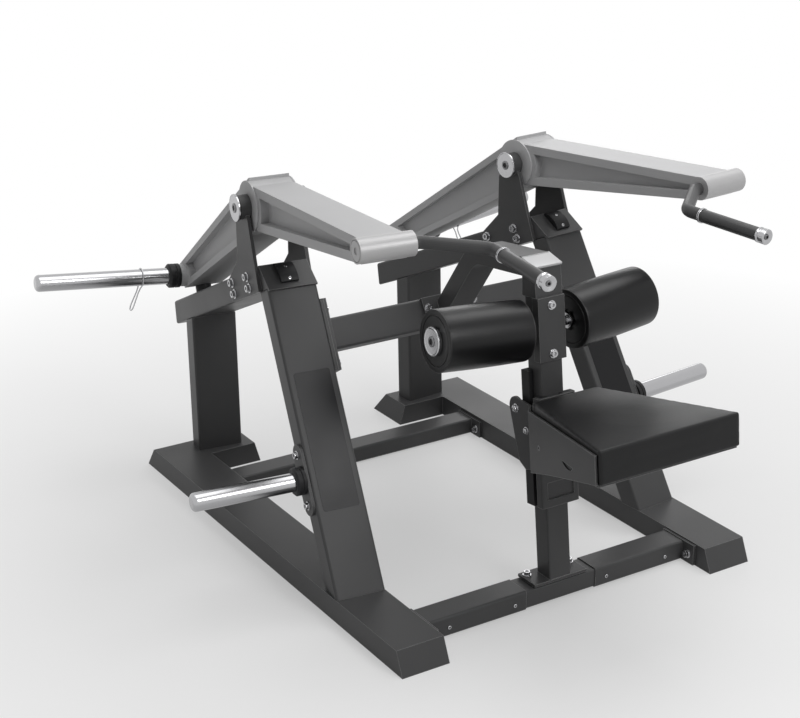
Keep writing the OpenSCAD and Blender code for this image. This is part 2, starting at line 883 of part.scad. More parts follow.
module storage_horn(side) color(chrome) on_storage(side) horn(horn_r, storage_l, horn_tip, storage_collar_l);

module storage_collar(side)
    color(rubber) on_storage(side) collar(collar_r + 1, storage_collar_l);

// Roller shafts, one to each side of the column, with dished end caps
roller_y = column_point(0, (roller_z - front_bar_top) / cos(column_lean))[0] - 8;
roller_cap_gap = 0.5;
module roller_shaft() {
    collar_in = roller_in - 9;
    color(chrome)
        for (side = [LEFT, RIGHT])
            intersection() {
                on_roller(side) {
                    cylinder(h = roller_in + roller_l + roller_cap_gap, r = roller_shaft_r);
                    translate([0, 0, collar_in])
                        cylinder(h = 8.5, r = roller_shaft_r + 9);
                    translate([0, 0, roller_in + roller_l + roller_cap_gap])
                        dished_cap(cap_r, 11, 3, 7);
                }
                whole()
                    translate([side == LEFT ? -rail_gauge - head_half : head_half, 0, 0])
                        cube([rail_gauge, rail_gauge, rail_gauge]);
            }
}

// Structural bolts, each a head on a washer against the face that it clamps
m12 = 10;
module frame_bolts()
    color(chrome) {
        for (side = [LEFT, RIGHT]) {
            for (spot = bolt_spots, face = [0, 180])
                on_side(side)
                    translate([0, spot[0], spot[1]])
                        rotate([0, 90 + face, 0])
                            translate([0, 0, plate_out])
                                bolt_head(m12, 9);
            for (end = [-68, 68])
                on_upright(side, storage_z)
                    translate([plate_in + flange_t, 0, end])
                        rotate([0, 90, 0])
                            bolt_head(m12 - 1, 8);
            for (end = [-76, 76])
                on_upright(side, upper_bar_z)
                    translate([-plate_in - 2 * flange_t, 0, end])
                        rotate([0, -90, 0])
                            bolt_head(m12, 9);
            whole()
                mirror([side == LEFT ? 1 : 0, 0, 0]) {
                    translate([rail_inner - flange_t, front_bar_y - 63, 29])
                        rotate([0, -90, 0])
                            bolt_head(m12, 9);
                    translate([rail_inner - flange_t, rear_bar_y - 63, 25])
                        rotate([0, -90, 0])
                            bolt_head(m12, 9);
                    translate([base_plate_w / 2 - 16, front_bar_y + 20, front_bar_top + base_plate_t])
                        bolt_head(m12 - 1, 9);
                }
            on_upper_bar()
                mirror([side == LEFT ? 1 : 0, 0, 0])
                    translate([foot_half - 14, -flat_t / 2 - foot_t, 12])
                        rotate([90, 0, 0])
                            bolt_head(m12 - 1, 8);
        }
        for (up = [column_l - head_plate_l + 18, column_l - 22])
            on_column()
                translate([0, -column_d / 2 - head_plate_t - 1.5, up])
                    rotate([90, 0, 0])
                        bolt_head(m12 - 1, 6);
    }

// Lever arms
module arm_front_shape(inset)
    polygon([
        pt(0, arm_up - inset), pt(arm_front, end_rise + end_up - inset),
        pt(arm_front, end_rise - end_down + inset), pt(0, -arm_down + inset)
    ]);

module arm_rear_shape(inset)
    polygon([
        pt(0, rear_up - inset), pt(-horn_back - 52 + inset, -horn_drop + 22 - inset / 4),
        pt(-horn_back - 5 + inset / 4, -horn_drop - 38 + inset), pt(0, -rear_down + inset)
    ]);

boss_l = 79;
module arm_beam(side)
    color(silver)
        difference() {
            union() {
                on_pivot(side) {
                    sheet(-arm_half, arm_half) {
                        difference() {
                            arm_front_shape(0);
                            translate(pt(arm_front, end_rise))
                                circle(end_tube_r);
                        }
                        arm_rear_shape(0);
                        circle(hub_r, $fn = 96);
                    }
                }
                on_horn(side)
                    translate([0, 0, 30])
                        cylinder(h = boss_l - 30, r = collar_r - 3);
            }
            // The side pockets leave a web between an upper and a lower flange
            for (face = [LEFT, RIGHT])
                on_pivot(side)
                    mirror([face == LEFT ? 1 : 0, 0, 0])
                        sheet(arm_half - pocket_depth, arm_half + past) {
                            difference() {
                                arm_front_shape(arm_flange);
                                circle(hub_r + 16, $fn = 96);
                                translate(pt(arm_front, 0) - [end_tube_r + 14, 0])
                                    square([2 * end_tube_r + 14, 4 * hub_r]);
                                translate(pt(arm_front + 2 * end_tube_r, -hub_r))
                                    square([3 * end_tube_r + 14, 4 * hub_r]);
                            }
                            difference() {
                                arm_rear_shape(arm_flange);
                                circle(hub_r + 16, $fn = 96);
                                translate(pt(-horn_back, -horn_drop))
                                    circle(collar_r + 12);
                            }
                        }
            on_pivot(side)
                rotate([0, 90, 0])
                    cylinder(h = 4 * arm_w, r = shaft_r + running, center = true);
        }

// Tube across the arm's end, with a stepped plug in each mouth
module end_tube(side) {
    wall = 4;
    mouth = 2.5;
    color(light_silver)
        on_pivot(side)
            translate([0, -arm_front, end_rise])
                rotate([0, 90, 0])
                    translate([0, 0, -end_tube_l / 2])
                        difference() {
                            cylinder(h = end_tube_l, r = end_tube_r);
                            translate([0, 0, end_tube_l - mouth])
                                ring(end_tube_r - wall, end_tube_r - wall - 2, 2 * mouth);
                            translate([0, 0, end_tube_l - mouth])
                                cylinder(h = 2 * mouth, r = 9);
                        }
}

// Handle
handle_path = [
    [-end_tube_l / 2, -arm_front, end_rise],
    [-end_tube_l / 2 - handle_stub, -arm_front, end_rise],
    [-elbow_in, -elbow_fwd, elbow_up],
    [-elbow_in, -tip_fwd, tip_up]
];
grip_dir = unit(handle_path[3] - handle_path[2]);
tip_l = 26;
ring_l = 7;
grip_start = norm(handle_path[3] - handle_path[2]) - tip_l - grip_l;

module on_grip(side)
    on_pivot(side)
        multmatrix(frame_at([1, 0, 0], cross(grip_dir, [1, 0, 0]), handle_path[2]))
            children();

module handle(side) {
    shoulder = handle_path[2] + grip_dir * (grip_start - ring_l);
    tip = handle_path[2] + grip_dir * (grip_start + grip_l);
    tube = route([handle_path[0], handle_path[1], handle_path[2], shoulder], handle_bend, 8);
    stations = concat(tube, [[shoulder, grip_dir], [tip, grip_dir]]);
    radii = [for (i = [0:len(stations) - 1]) i < len(tube) ? handle_r : core_r];
    color(graphite)
        on_pivot(side)
            swept_bar(stations, radii, 24, [0, 0, 1]);
}

module grip(side)
    color(rubber)
        on_grip(side)
            translate([0, 0, grip_start])
                difference() {
                    cylinder(h = grip_l, r = grip_r);
                    translate([0, 0, -past])
                        cylinder(h = grip_l + 2 * past, r = core_r + ring_fit);
                }

// Chrome rings before the grip, and the turned tip with its two lips and dished face
module handle_trim(side) {
    lip = grip_r + 2.5;
    neck = grip_r - 0.5;
    color(chrome)
        on_grip(side) {
            translate([0, 0, grip_start - ring_l])
                rotate_extrude()
                    polygon([
                        [core_r + ring_fit, 0], [lip - 1, 0], [lip, 1], [lip, 2.2], [neck, 3], [neck, 4],
                        [lip, 4.8], [lip, 6], [lip - 1, ring_l], [core_r + ring_fit, ring_l]
                    ]);
            translate([0, 0, grip_start + grip_l])
                difference() {
                    rotate_extrude()
                        polygon([
                            [0, 0], [lip - 1, 0], [lip, 1], [lip, 4], [neck, 6], [neck, 11], [lip, 13],
                            [lip, tip_l - 1.5], [lip - 1.5, tip_l], [lip - 4, tip_l], [7, tip_l - 3],
                            [0, tip_l - 3]
                        ]);
                    translate([0, 0, tip_l - 9])
                        cylinder(h = 9, r = 4.5, $fn = 6);
                }
        }
}

// Weight horn with its collar and spring clip
module weight_horn(side)
    color(chrome) on_horn(side) translate([0, 0, boss_l]) horn(horn_r, horn_l, horn_tip, collar_l);

module horn_collar(side)
    color(rubber) on_horn(side) translate([0, 0, boss_l]) collar(collar_r - 0.5, collar_l);

// Spring clip: one wire that runs round the horn and hangs down in a flat loop to squeeze it by
module horn_clip(side) {
    coil_r = horn_r + air + wire_d / 2;
    mouth = 38;
    loop_r = 12;
    loop_at = coil_r + 62;
    lean = 0.36;
    flat = concat(
        arc([0, 0], coil_r, mouth, 360 - mouth, 20),
        [[coil_r + 6, -10], [coil_r + 20, -8], [loop_at - 8, -loop_r]],
        arc([loop_at, 0], loop_r, -90, 90, 8),
        [[loop_at - 8, loop_r], [coil_r + 20, 8], [coil_r + 6, 10]]
    );
    n = len(flat);
    spots = [for (p = flat) [p[0], p[1], lean * max(0, p[0] - 18)]];
    stations = [for (i = [0:n - 1]) [spots[i], unit(spots[(i + 1) % n] - spots[(i + n - 1) % n])]];
    color(chrome)
        on_horn(side)
            translate([0, 0, boss_l + clip_out])
                swept_bar(stations, [for (p = spots) wire_d / 2], 8, [0, 0, 1], true);
}

// Seat: carriage on the column
guide_out = 50;
guide_deep = 38;
carriage_deep = 46;
carriage_low = 214;
carriage_high = 512;
// The carriage is open at the sides but for its ears behind the seat plates
lip_back = 22;
ear_low = 352;
ear_high = 480;
housing_l = 24;
module seat_carriage()
    color(graphite)
        on_column() {
            difference() {
                union() {
                    intersection() {
                        translate([0, 0, carriage_low])
                            bar(2 * carriage_half, 2 * carriage_deep, carriage_high - carriage_low, 6);
                        union() {
                            translate([-2 * carriage_half, -2 * carriage_deep, carriage_low])
                                cube([4 * carriage_half, 2 * carriage_deep - lip_back, carriage_high]);
                            translate([-2 * carriage_half, -carriage_deep - past, ear_low])
                                cube([4 * carriage_half, 3 * carriage_deep, ear_high - ear_low]);
                            translate([0, -2 * carriage_deep, pin_up - housing_l])
                                cube([2 * carriage_half, 2.4 * carriage_deep, 2 * housing_l]);
                        }
                    }
                    translate([carriage_half - past, 0, pin_up])
                        rotate([0, 90, 0])
                            cylinder(h = housing_l + past, r = 11);
                }
                translate([-guide_out, -guide_deep, carriage_low - past])
                    cube([2 * guide_out, 2 * guide_deep, carriage_high - carriage_low + 2 * past]);
                // Long shallow recess in the front of the lower end
                translate([-42, -carriage_deep - past, carriage_low + 22])
                    cube([84, 4 + past, 46]);
                translate([guide_out - past, 0, pin_up])
                    rotate([0, 90, 0])
                        cylinder(h = carriage_half, r = pin_r + running);
            }
        }

// Corner guides inside the carriage; the two at the rear run on above and below it
guide_high = 575;
guide_low = 207;
guide_in = 18;
module guide_strips()
    color(rubber)
        on_column()
            for (x = [-1, 1], rear = [false, true]) {
                from = rear ? pin_r + 1 : -guide_deep;
                to = rear ? guide_deep : -lip_back;
                low = rear ? guide_low : carriage_low;
                translate([0, 0, low])
                    linear_extrude((rear ? guide_high : carriage_high) - low)
                        difference() {
                            translate([x > 0 ? guide_in : -guide_out, from])
                                square([guide_out - guide_in, to - from]);
                            translate([-column_w / 2 - air, -column_d / 2 - air])
                                square([column_w + 2 * air, column_d + 2 * air]);
                        }
            }

// Seat: bent side plates. Each is a strip folded twice, then cut to its outline
pad_front = -pad_gap - pad_l;
plate_front = pad_front + 12;
side_out = carriage_half + side_plate_t;
fold_rear = -12;
fold_front = -66;
function pad_edge(y) = pad_half + (y - pad_front) * -tan(pad_taper);
function plate_edge(y) = pad_edge(y) + 0.5 + side_plate_t / cos(pad_taper);
strip = [[side_out, 80], [side_out, fold_rear], [plate_edge(fold_front), fold_front],
    [plate_edge(plate_front), plate_front]];
// The strip's inner line lies one thickness inboard, mitred at the folds
function mitre(a, b, c) =
    let(n1 = unit([(b - a)[1], -(b - a)[0]]), n2 = unit([(c - b)[1], -(c - b)[0]]), m = unit(n1 + n2))
    b + m * side_plate_t / (m * n1);
strip_inner = [
    strip[0] - [side_plate_t, 0],
    mitre(strip[0], strip[1], strip[2]),
    mitre(strip[1], strip[2], strip[3]),
    mitre(strip[2], strip[3], 2 * strip[3] - strip[2])
];

// The outline's free corners: under the pad, and up the rear edge
plate_belly = [[-264, 385], [-165, 360], [14, 310]];
plate_back = [[40, 327], [56, 387], [74, 466], [46, 500]];
plate_high = [[fold_rear, 492], [fold_front, 498]];
plate_ear = [46, 474];
plate_ear_r = 29;
flank_hole = [-130, 419];
flank_hole_r = 7;
slot_at = -312;
slot_r = 51;
slot_low = 421.5;
slot_h = 13;
module seat_plate(side)
    color(graphite)
        on_column()
            mirror([side == LEFT ? 1 : 0, 0, 0])
                difference() {
                    intersection() {
                        translate([0, 0, 280])
                            linear_extrude(250)
                                polygon(concat(strip, [for (i = [3:-1:0]) strip_inner[i]]));
                        sheet(0, 2 * pad_half)
                            union() {
                                polygon(concat(
                                    [[plate_front, pad_top - 15], [plate_front, pad_top - pad_t],
                                        [plate_front + 24, pad_top - pad_t - 5]],
                                    plate_belly, plate_back, plate_high
                                ));
                                translate(plate_ear)
                                    circle(plate_ear_r);
                            }
                    }
                    sheet(0, 2 * pad_half) {
                        translate(flank_hole)
                            circle(flank_hole_r);
                        // Slot on the pad's flank: the lower part of a circle, flat on top
                        intersection() {
                            translate([slot_at, slot_low + slot_r])
                                circle(slot_r, $fn = 96);
                            translate([slot_at - slot_r, slot_low - past])
                                square([2 * slot_r, slot_h + past]);
                        }
                    }
                }

// Seat: tray under the pad with its bracket to the carriage
module seat_base() {
    tray_t = 7;
    tray_top = pad_top - pad_t;
    tray_rear = fold_front - 20;
    bracket = [-carriage_deep, tray_top - tray_t];
    color(graphite)
        on_column() {
            translate([0, 0, tray_top - tray_t])
                linear_extrude(tray_t)
                    polygon([
                        [-pad_edge(plate_front), plate_front], [pad_edge(plate_front), plate_front],
                        [pad_edge(tray_rear), tray_rear], [-pad_edge(tray_rear), tray_rear]
                    ]);
            for (x = [-34, 28])
                sheet(x, x + 6)
                    polygon([
                        bracket, [-carriage_deep, 352], [-carriage_deep - 26, 352],
                        [-300, tray_top - 28], [-330, tray_top - tray_t]
                    ]);
        }
}

// Seat pad: a tapered cushion with drawn-in sides, a rolled top edge and a slight crown
pad_corner = 14;
pad_front_corner = 6;
pad_roll = 5;
pad_steps = 10;
// Corner circles of the outline at an inset, from the front right corner anticlockwise
function pad_outline(inset) =
    let(
        rear = -pad_gap - air, front = pad_front, c = pad_corner,
        fc = pad_front_corner,
        fh = pad_edge(front) - fc / cos(pad_taper) - fc * tan(pad_taper),
        rh = pad_edge(rear) - c / cos(pad_taper) + c * tan(pad_taper)
    )
    concat(
        arc([rh, rear - c], c - inset, -pad_taper, 90, pad_steps),
        arc([-rh, rear - c], c - inset, 90, 180 + pad_taper, pad_steps),
        arc([-fh, front + fc], fc - inset, 180 + pad_taper, 270, pad_steps),
        arc([fh, front + fc], fc - inset, 270, 360 - pad_taper, pad_steps)
    );
// Inset and height of each level, from the bottom up to where the crown begins
pad_levels = concat(
    [[3, 0], [0.6, 3], [0, 8], [1.6, pad_t * 0.5], [0, pad_t - 2 - pad_roll]],
    [for (i = [1:4]) let(a = i * 22.5)
        [pad_roll - pad_roll * cos(a), pad_t - 2 - pad_roll + pad_roll * sin(a)]]
);
crown_scales = [0.94, 0.8, 0.6, 0.35];
module seat_pad() {
    middle = [0, pad_front + pad_l * 0.45];
    edge = pad_outline(pad_roll);
    rings = concat(
        [for (level = pad_levels) [for (p = pad_outline(level[0])) [p[0], p[1], level[1]]]],
        [for (s = crown_scales) [for (p = edge)
            let(q = middle + (p - middle) * s) [q[0], q[1], pad_t - 2 + 2 * (1 - s * s)]]]
    );
    n = len(edge);
    points = concat([for (r = rings) each r], [[middle[0], middle[1], pad_t]]);
    top = len(rings) - 1;
    faces = concat(
        [[for (i = [0:n - 1]) i]],
        [for (k = [0:top - 1], i = [0:n - 1]) let(j = (i + 1) % n)
            each [[k * n + i, (k + 1) * n + i, k * n + j], [k * n + j, (k + 1) * n + i, (k + 1) * n + j]]],
        [for (i = [0:n - 1]) [top * n + i, len(points) - 1, top * n + (i + 1) % n]]
    );
    color(vinyl)
        on_column()
            translate([0, 0, pad_top - pad_t])
                polyhedron(points, faces);
}

// Latch pin with its knob, drawn back clear of the column
module latch_pin() {
    tip = column_w / 2 + 1;
    knob_at = carriage_half + housing_l + 13;
    color(rubber)
        on_column()
            translate([0, 0, pin_up])
                rotate([0, 90, 0]) {
                    translate([0, 0, tip])
                        cylinder(h = knob_at - tip + 5, r = pin_r);
                    translate([0, 0, knob_at])
                        rotate_extrude()
                            polygon(concat(
                                [[0, 0], [10, 0], [15, 6]],
                                arc([11, 20], 4, 0, 90, 5),
                                [[0, 24]]
                            ));
                }
}

// Thigh roller: foam on its tube, with rolled rims, a crown and a recess at each end
module roller(side) {
    rim = 9;
    crown = 1.5;
    hub = 41;
    deep = 5;
    rim_r = roller_r - crown;
    color(vinyl)
        on_roller(side)
            translate([0, 0, roller_in])
                rotate_extrude()
                    polygon(concat(
                        [[roller_shaft_r + running, 0], [hub, 0]],
                        arc([rim_r - rim, rim], rim, -90, 0, 6),
                        [for (i = [1:7]) let(t = i / 8)
                            [rim_r + crown * sin(180 * t), rim + (roller_l - 2 * rim) * t]],
                        arc([rim_r - rim, roller_l - rim], rim, 0, 90, 6),
                        [[rim_r - 2 * rim, roller_l - 1.5], [rim_r - 2 * rim - 2, roller_l], [hub, roller_l],
                            [roller_shaft_r + running, roller_l]]
                    ));
}

color(graphite) base_rail(LEFT);  // left_base_rail
color(graphite) base_rail(RIGHT);  // right_base_rail
front_crossbar();
bar_sleeve(LEFT);  // left_bar_sleeve
bar_sleeve(RIGHT);  // right_bar_sleeve
rear_crossbar();
rear_post(LEFT);  // left_rear_post
rear_post(RIGHT);  // right_rear_post
upright(LEFT);  // left_upright
upright(RIGHT);  // right_upright
top_beam(LEFT);  // left_top_beam
top_beam(RIGHT);  // right_top_beam
pivot_plate(LEFT, false);  // left_outer_pivot_plate
pivot_plate(LEFT, true);  // left_inner_pivot_plate
pivot_plate(RIGHT, false);  // right_outer_pivot_plate
pivot_plate(RIGHT, true);  // right_inner_pivot_plate
pivot_shaft(LEFT);  // left_pivot_shaft
pivot_shaft(RIGHT);  // right_pivot_shaft
bumper(LEFT);  // left_bumper
bumper(RIGHT);  // right_bumper
rest_stop(LEFT);  // left_rest_stop
rest_stop(RIGHT);  // right_rest_stop
upper_crossbar();
gooseneck();
head_plate();
seat_column();
storage_bracket(LEFT);  // left_storage_bracket
storage_bracket(RIGHT);  // right_storage_bracket
storage_horn(LEFT);  // left_storage_horn
storage_horn(RIGHT);  // right_storage_horn
storage_collar(LEFT);  // left_storage_collar
storage_collar(RIGHT);  // right_storage_collar
roller_shaft();
frame_bolts();
arm_beam(LEFT);  // left_arm_beam
arm_beam(RIGHT);  // right_arm_beam
end_tube(LEFT);  // left_end_tube
end_tube(RIGHT);  // right_end_tube
handle(LEFT);  // left_handle
handle(RIGHT);  // right_handle
grip(LEFT);  // left_grip
grip(RIGHT);  // right_grip
handle_trim(LEFT);  // left_handle_trim
handle_trim(RIGHT);  // right_handle_trim
weight_horn(LEFT);  // left_weight_horn
weight_horn(RIGHT);  // right_weight_horn
horn_collar(LEFT);  // left_horn_collar
horn_collar(RIGHT);  // right_horn_collar
horn_clip(LEFT);  // left_horn_clip
horn_clip(RIGHT);  // right_horn_clip
seat_carriage();
guide_strips();
seat_plate(LEFT);  // left_seat_plate
seat_plate(RIGHT);  // right_seat_plate
seat_base();
seat_pad();
latch_pin();
roller(LEFT);  // left_roller
roller(RIGHT);  // right_roller
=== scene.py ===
"""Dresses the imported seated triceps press: finishes, upholstery, hardware and studio."""

import json
import logging
import math
from dataclasses import dataclass, field
from enum import Enum
from typing import Callable, Sequence

import bpy
from mathutils import Matrix, Vector

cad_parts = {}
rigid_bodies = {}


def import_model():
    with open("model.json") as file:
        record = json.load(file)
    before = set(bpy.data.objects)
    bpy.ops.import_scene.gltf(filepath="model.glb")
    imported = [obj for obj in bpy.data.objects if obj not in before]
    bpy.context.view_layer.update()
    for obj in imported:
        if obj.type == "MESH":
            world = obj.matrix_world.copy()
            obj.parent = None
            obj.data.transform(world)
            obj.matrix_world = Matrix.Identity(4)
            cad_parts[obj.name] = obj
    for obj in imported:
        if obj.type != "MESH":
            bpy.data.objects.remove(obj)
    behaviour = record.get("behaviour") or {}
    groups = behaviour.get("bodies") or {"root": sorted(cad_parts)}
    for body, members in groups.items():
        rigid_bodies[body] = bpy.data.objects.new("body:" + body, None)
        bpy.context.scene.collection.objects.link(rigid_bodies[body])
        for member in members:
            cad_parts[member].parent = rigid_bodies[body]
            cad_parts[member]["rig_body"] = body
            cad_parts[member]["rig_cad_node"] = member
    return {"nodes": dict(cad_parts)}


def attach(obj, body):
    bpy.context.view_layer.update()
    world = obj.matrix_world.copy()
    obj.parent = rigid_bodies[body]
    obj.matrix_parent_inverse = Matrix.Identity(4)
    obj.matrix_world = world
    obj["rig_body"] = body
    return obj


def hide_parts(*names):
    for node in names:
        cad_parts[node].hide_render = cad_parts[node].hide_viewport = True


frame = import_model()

MM = 0.001
ORIGIN_BACK = 592.3
NOISE_SPAN = (0.3, 0.7)  # where most of a noise texture's values lie
NEAR = 0.01  # mm within which two places count as one
# grey mixed into a finish's colour along its edges: a painted highlight
PAINTED_EDGE_HIGHLIGHT = (0.5, 0.5, 0.5, 1.0)
WHITE = (1.0, 1.0, 1.0, 1.0)
FLAT = 0.9  # part of a unit normal along an axis that makes a face count as square to it
BRIDGED = 0.5  # mm from a bar's axis within which its end faces are joined
Point = tuple[float, float, float]
Piece = bpy.types.Object
Socket = bpy.types.NodeSocket
Node = bpy.types.Node
Tree = bpy.types.NodeTree

logging.basicConfig(level=logging.INFO, format="%(name)s: %(message)s")
log = logging.getLogger("press")


class Side(Enum):
    """The machine's two sides; X points to the right one."""

    LEFT = -1
    RIGHT = 1

    @property
    def label(self) -> str:
        """The side's word in the names of pieces and CAD nodes."""
        return self.name.lower()


class Pattern(Enum):
    """What the surface of a finish is broken up by."""

    SPECKLE = "speckle"
    HIDE = "hide"


# ---- Bench: modelling steps ----


class Bench:
    """Modelling steps done by operators, each on one piece, in millimetres of a working frame."""

    @staticmethod
    def clear() -> None:
        """Leaves nothing selected and no object in edit mode."""
        if bpy.context.object and bpy.context.object.mode != "OBJECT":
            bpy.ops.object.mode_set(mode="OBJECT")
        bpy.ops.object.select_all(action="DESELECT")

    @staticmethod
    def hold(piece: Piece) -> None:
        """Makes a piece the only selected one and the active one.

        Args:
            piece: The piece to work on.
        """
        Bench.clear()
        piece.select_set(True)
        bpy.context.view_layer.objects.active = piece

    @staticmethod
    def round_bar(name: str, radius: float, length: float, sides: int = 64) -> Piece:
        """Adds a round bar that stands on Z = 0.

        Args:
            name: The piece's name.
            radius: Its radius in mm.
            length: Its length in mm.
            sides: Faces round it.

        Returns:
            The new piece.
        """
        Bench.clear()
        middle = (0, 0, length / 2)
        bpy.ops.mesh.primitive_cylinder_add(
            vertices=sides, radius=radius, depth=length, location=middle
        )
        return Bench.named(name)

    @staticmethod
    def block(name: str, size: Point, middle: Point) -> Piece:
        """Adds a block.

        Args:
            name: The piece's name.
            size: Its full size in mm.
            middle: Its middle in mm.

        Returns:
            The new piece.
        """
        Bench.clear()
        bpy.ops.mesh.primitive_cube_add(size=1, location=middle, scale=size)
        return Bench.named(name)

    @staticmethod
    def named(name: str) -> Piece:
        """Names the active object and puts its place into its mesh.

        Args:
            name: The piece's name.

        Returns:
            The piece.
        """
        piece = bpy.context.object
        piece.name = piece.data.name = name
        bpy.ops.object.transform_apply(location=True, rotation=True, scale=True)
        return piece

    @staticmethod
    def edit(piece: Piece, kind: str = "FACE", whole: bool = False) -> None:
        """Goes into edit mode.

        Args:
            piece: The piece to work on.
            kind: VERT, EDGE or FACE.
            whole: Whether all of it is selected or nothing.
        """
        Bench.hold(piece)
        bpy.ops.object.mode_set(mode="EDIT")
        bpy.ops.mesh.select_mode(type=kind)
        bpy.ops.mesh.select_all(action="SELECT" if whole else "DESELECT")

    @staticmethod
    def pick(piece: Piece, kind: str, wanted: Callable[[Vector, Vector], bool]) -> None:
        """Selects faces or edges by a test and stays in edit mode.

        Args:
            piece: The piece to work on.
            kind: FACE or EDGE.
            wanted: Test of a face's middle and normal, or of an edge's two ends.
        """
        Bench.edit(piece, kind)
        Bench.leave()
        points = piece.data.vertices
        if kind == "FACE":
            for face in piece.data.polygons:
                face.select = wanted(face.center, face.normal)
        else:
            for edge in piece.data.edges:
                edge.select = wanted(*(points[end].co for end in edge.vertices))
        bpy.ops.object.mode_set(mode="EDIT")

    @staticmethod
    def leave() -> None:
        """Goes back to object mode."""
        bpy.ops.object.mode_set(mode="OBJECT")

    @staticmethod
    def round_edges(width: float, rounds: int) -> None:
        """Rounds the edges picked in edit mode and goes back to object mode.

        Args:
            width: Width of the rounding in mm.
            rounds: Faces across it.
        """
        bpy.ops.mesh.bevel(offset=width, segments=rounds, affect="EDGES")
        Bench.leave()

    @staticmethod
    def subtract(piece: Piece, cutter: Piece) -> None:
        """Cuts one piece out of another and does away with it.

        Args:
            piece: The piece that stays.
            cutter: The piece that is cut out.
        """
        Bench.apply(piece, "BOOLEAN", object=cutter, operation="DIFFERENCE", solver="EXACT")
        bpy.data.objects.remove(cutter)

    @staticmethod
    def join(piece: Piece, other: Piece) -> None:
        """Makes a second piece a part of the first.

        Args:
            piece: The piece that stays.
            other: The piece that goes into it.
        """
        Bench.hold(piece)
        other.select_set(True)
        bpy.ops.object.join()

    @staticmethod
    def turn_ends(piece: Piece, steps: Sequence[tuple[float, float]], length: float) -> None:
        """Turns both ends of a bar on the lathe and bores it through along its axis.

        Args:
            piece: A round bar along Z that stands on Z = 0.
            steps: Inset and depth of each step in mm, from the rim to the bore; a negative
                depth sinks the face.
            length: The bar's length in mm.
        """
        for sign, height in ((1, length), (-1, 0.0)):
            Bench.pick(piece, "FACE",
                       lambda c, n: n.z * sign > FLAT and abs(c.z - height) < NEAR)
            for inset, depth in steps:
                if inset:
                    bpy.ops.mesh.inset(thickness=inset, depth=0, use_even_offset=True)
                if depth:
                    way = {"value": (0, 0, depth * sign)}
                    bpy.ops.mesh.extrude_region_move(TRANSFORM_OT_translate=way)
            Bench.leave()
        Bench.pick(piece, "FACE", lambda c, n: abs(n.z) > FLAT and c.xy.length < BRIDGED)
        bpy.ops.mesh.bridge_edge_loops()
        Bench.leave()

    @staticmethod
    def soften(piece: Piece, width: float, rounds: int = 3, angle: float = 35.0) -> None:
        """Rounds all edges sharper than an angle.

        Args:
            piece: The piece to work on.
            width: Width of the rounding in mm.
            rounds: Faces across it.
            angle: Smallest turn between faces that counts as an edge, in degrees.
        """
        Bench.apply(piece, "BEVEL", width=width, segments=rounds, limit_method="ANGLE",
                    angle_limit=math.radians(angle))

    @staticmethod
    def apply(piece: Piece, kind: str, **values: object) -> None:
        """Adds a modifier and applies it.

        Args:
            piece: The piece to work on.
            kind: The modifier's type.
            values: Its settings.
        """
        Bench.hold(piece)
        modifier = piece.modifiers.new(kind.lower(), kind)
        for key, value in values.items():
            setattr(modifier, key, value)
        bpy.ops.object.modifier_apply(modifier=modifier.name)

    @staticmethod
    def set_down(piece: Piece, place: Matrix, angle: float = 35.0) -> None:
        """Puts a finished piece from its working frame in mm to its place in metres.

        Args:
            piece: The piece, its object at the origin.
            place: The working frame's matrix, in mm of the row frame.
            angle: Turn up to which faces are shaded as one surface, in degrees.
        """
        piece.data.transform(Matrix.Scale(MM, 4) @ place)
        Bench.edit(piece, whole=True)
        bpy.ops.mesh.remove_doubles(threshold=1e-6)
        bpy.ops.mesh.normals_make_consistent(inside=False)
        Bench.leave()
        bpy.ops.object.shade_smooth_by_angle(angle=math.radians(angle))
        Bench.clear()

    @staticmethod
    def again(piece: Piece, name: str) -> Piece:
        """Copies a piece with a mesh of its own, free of its parent and marks.

        Args:
            piece: The piece to copy.
            name: The copy's name.

        Returns:
            The copy.
        """
        twin = piece.copy()
        twin.data = piece.data.copy()
        twin.name = twin.data.name = name
        twin.parent = None
        for key in set(twin.keys()) & {"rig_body", "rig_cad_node"}:
            del twin[key]
        bpy.context.scene.collection.objects.link(twin)
        return twin


# ---- Places: working frames of the machine, in mm ----


def turn(axis: str, degrees: float) -> Matrix:
    """A turn about the X, Y or Z axis in degrees."""
    return Matrix.Rotation(math.radians(degrees), 4, axis)


def move(x: float, y: float, z: float) -> Matrix:
    """A move in mm."""
    return Matrix.Translation((x, y, z))


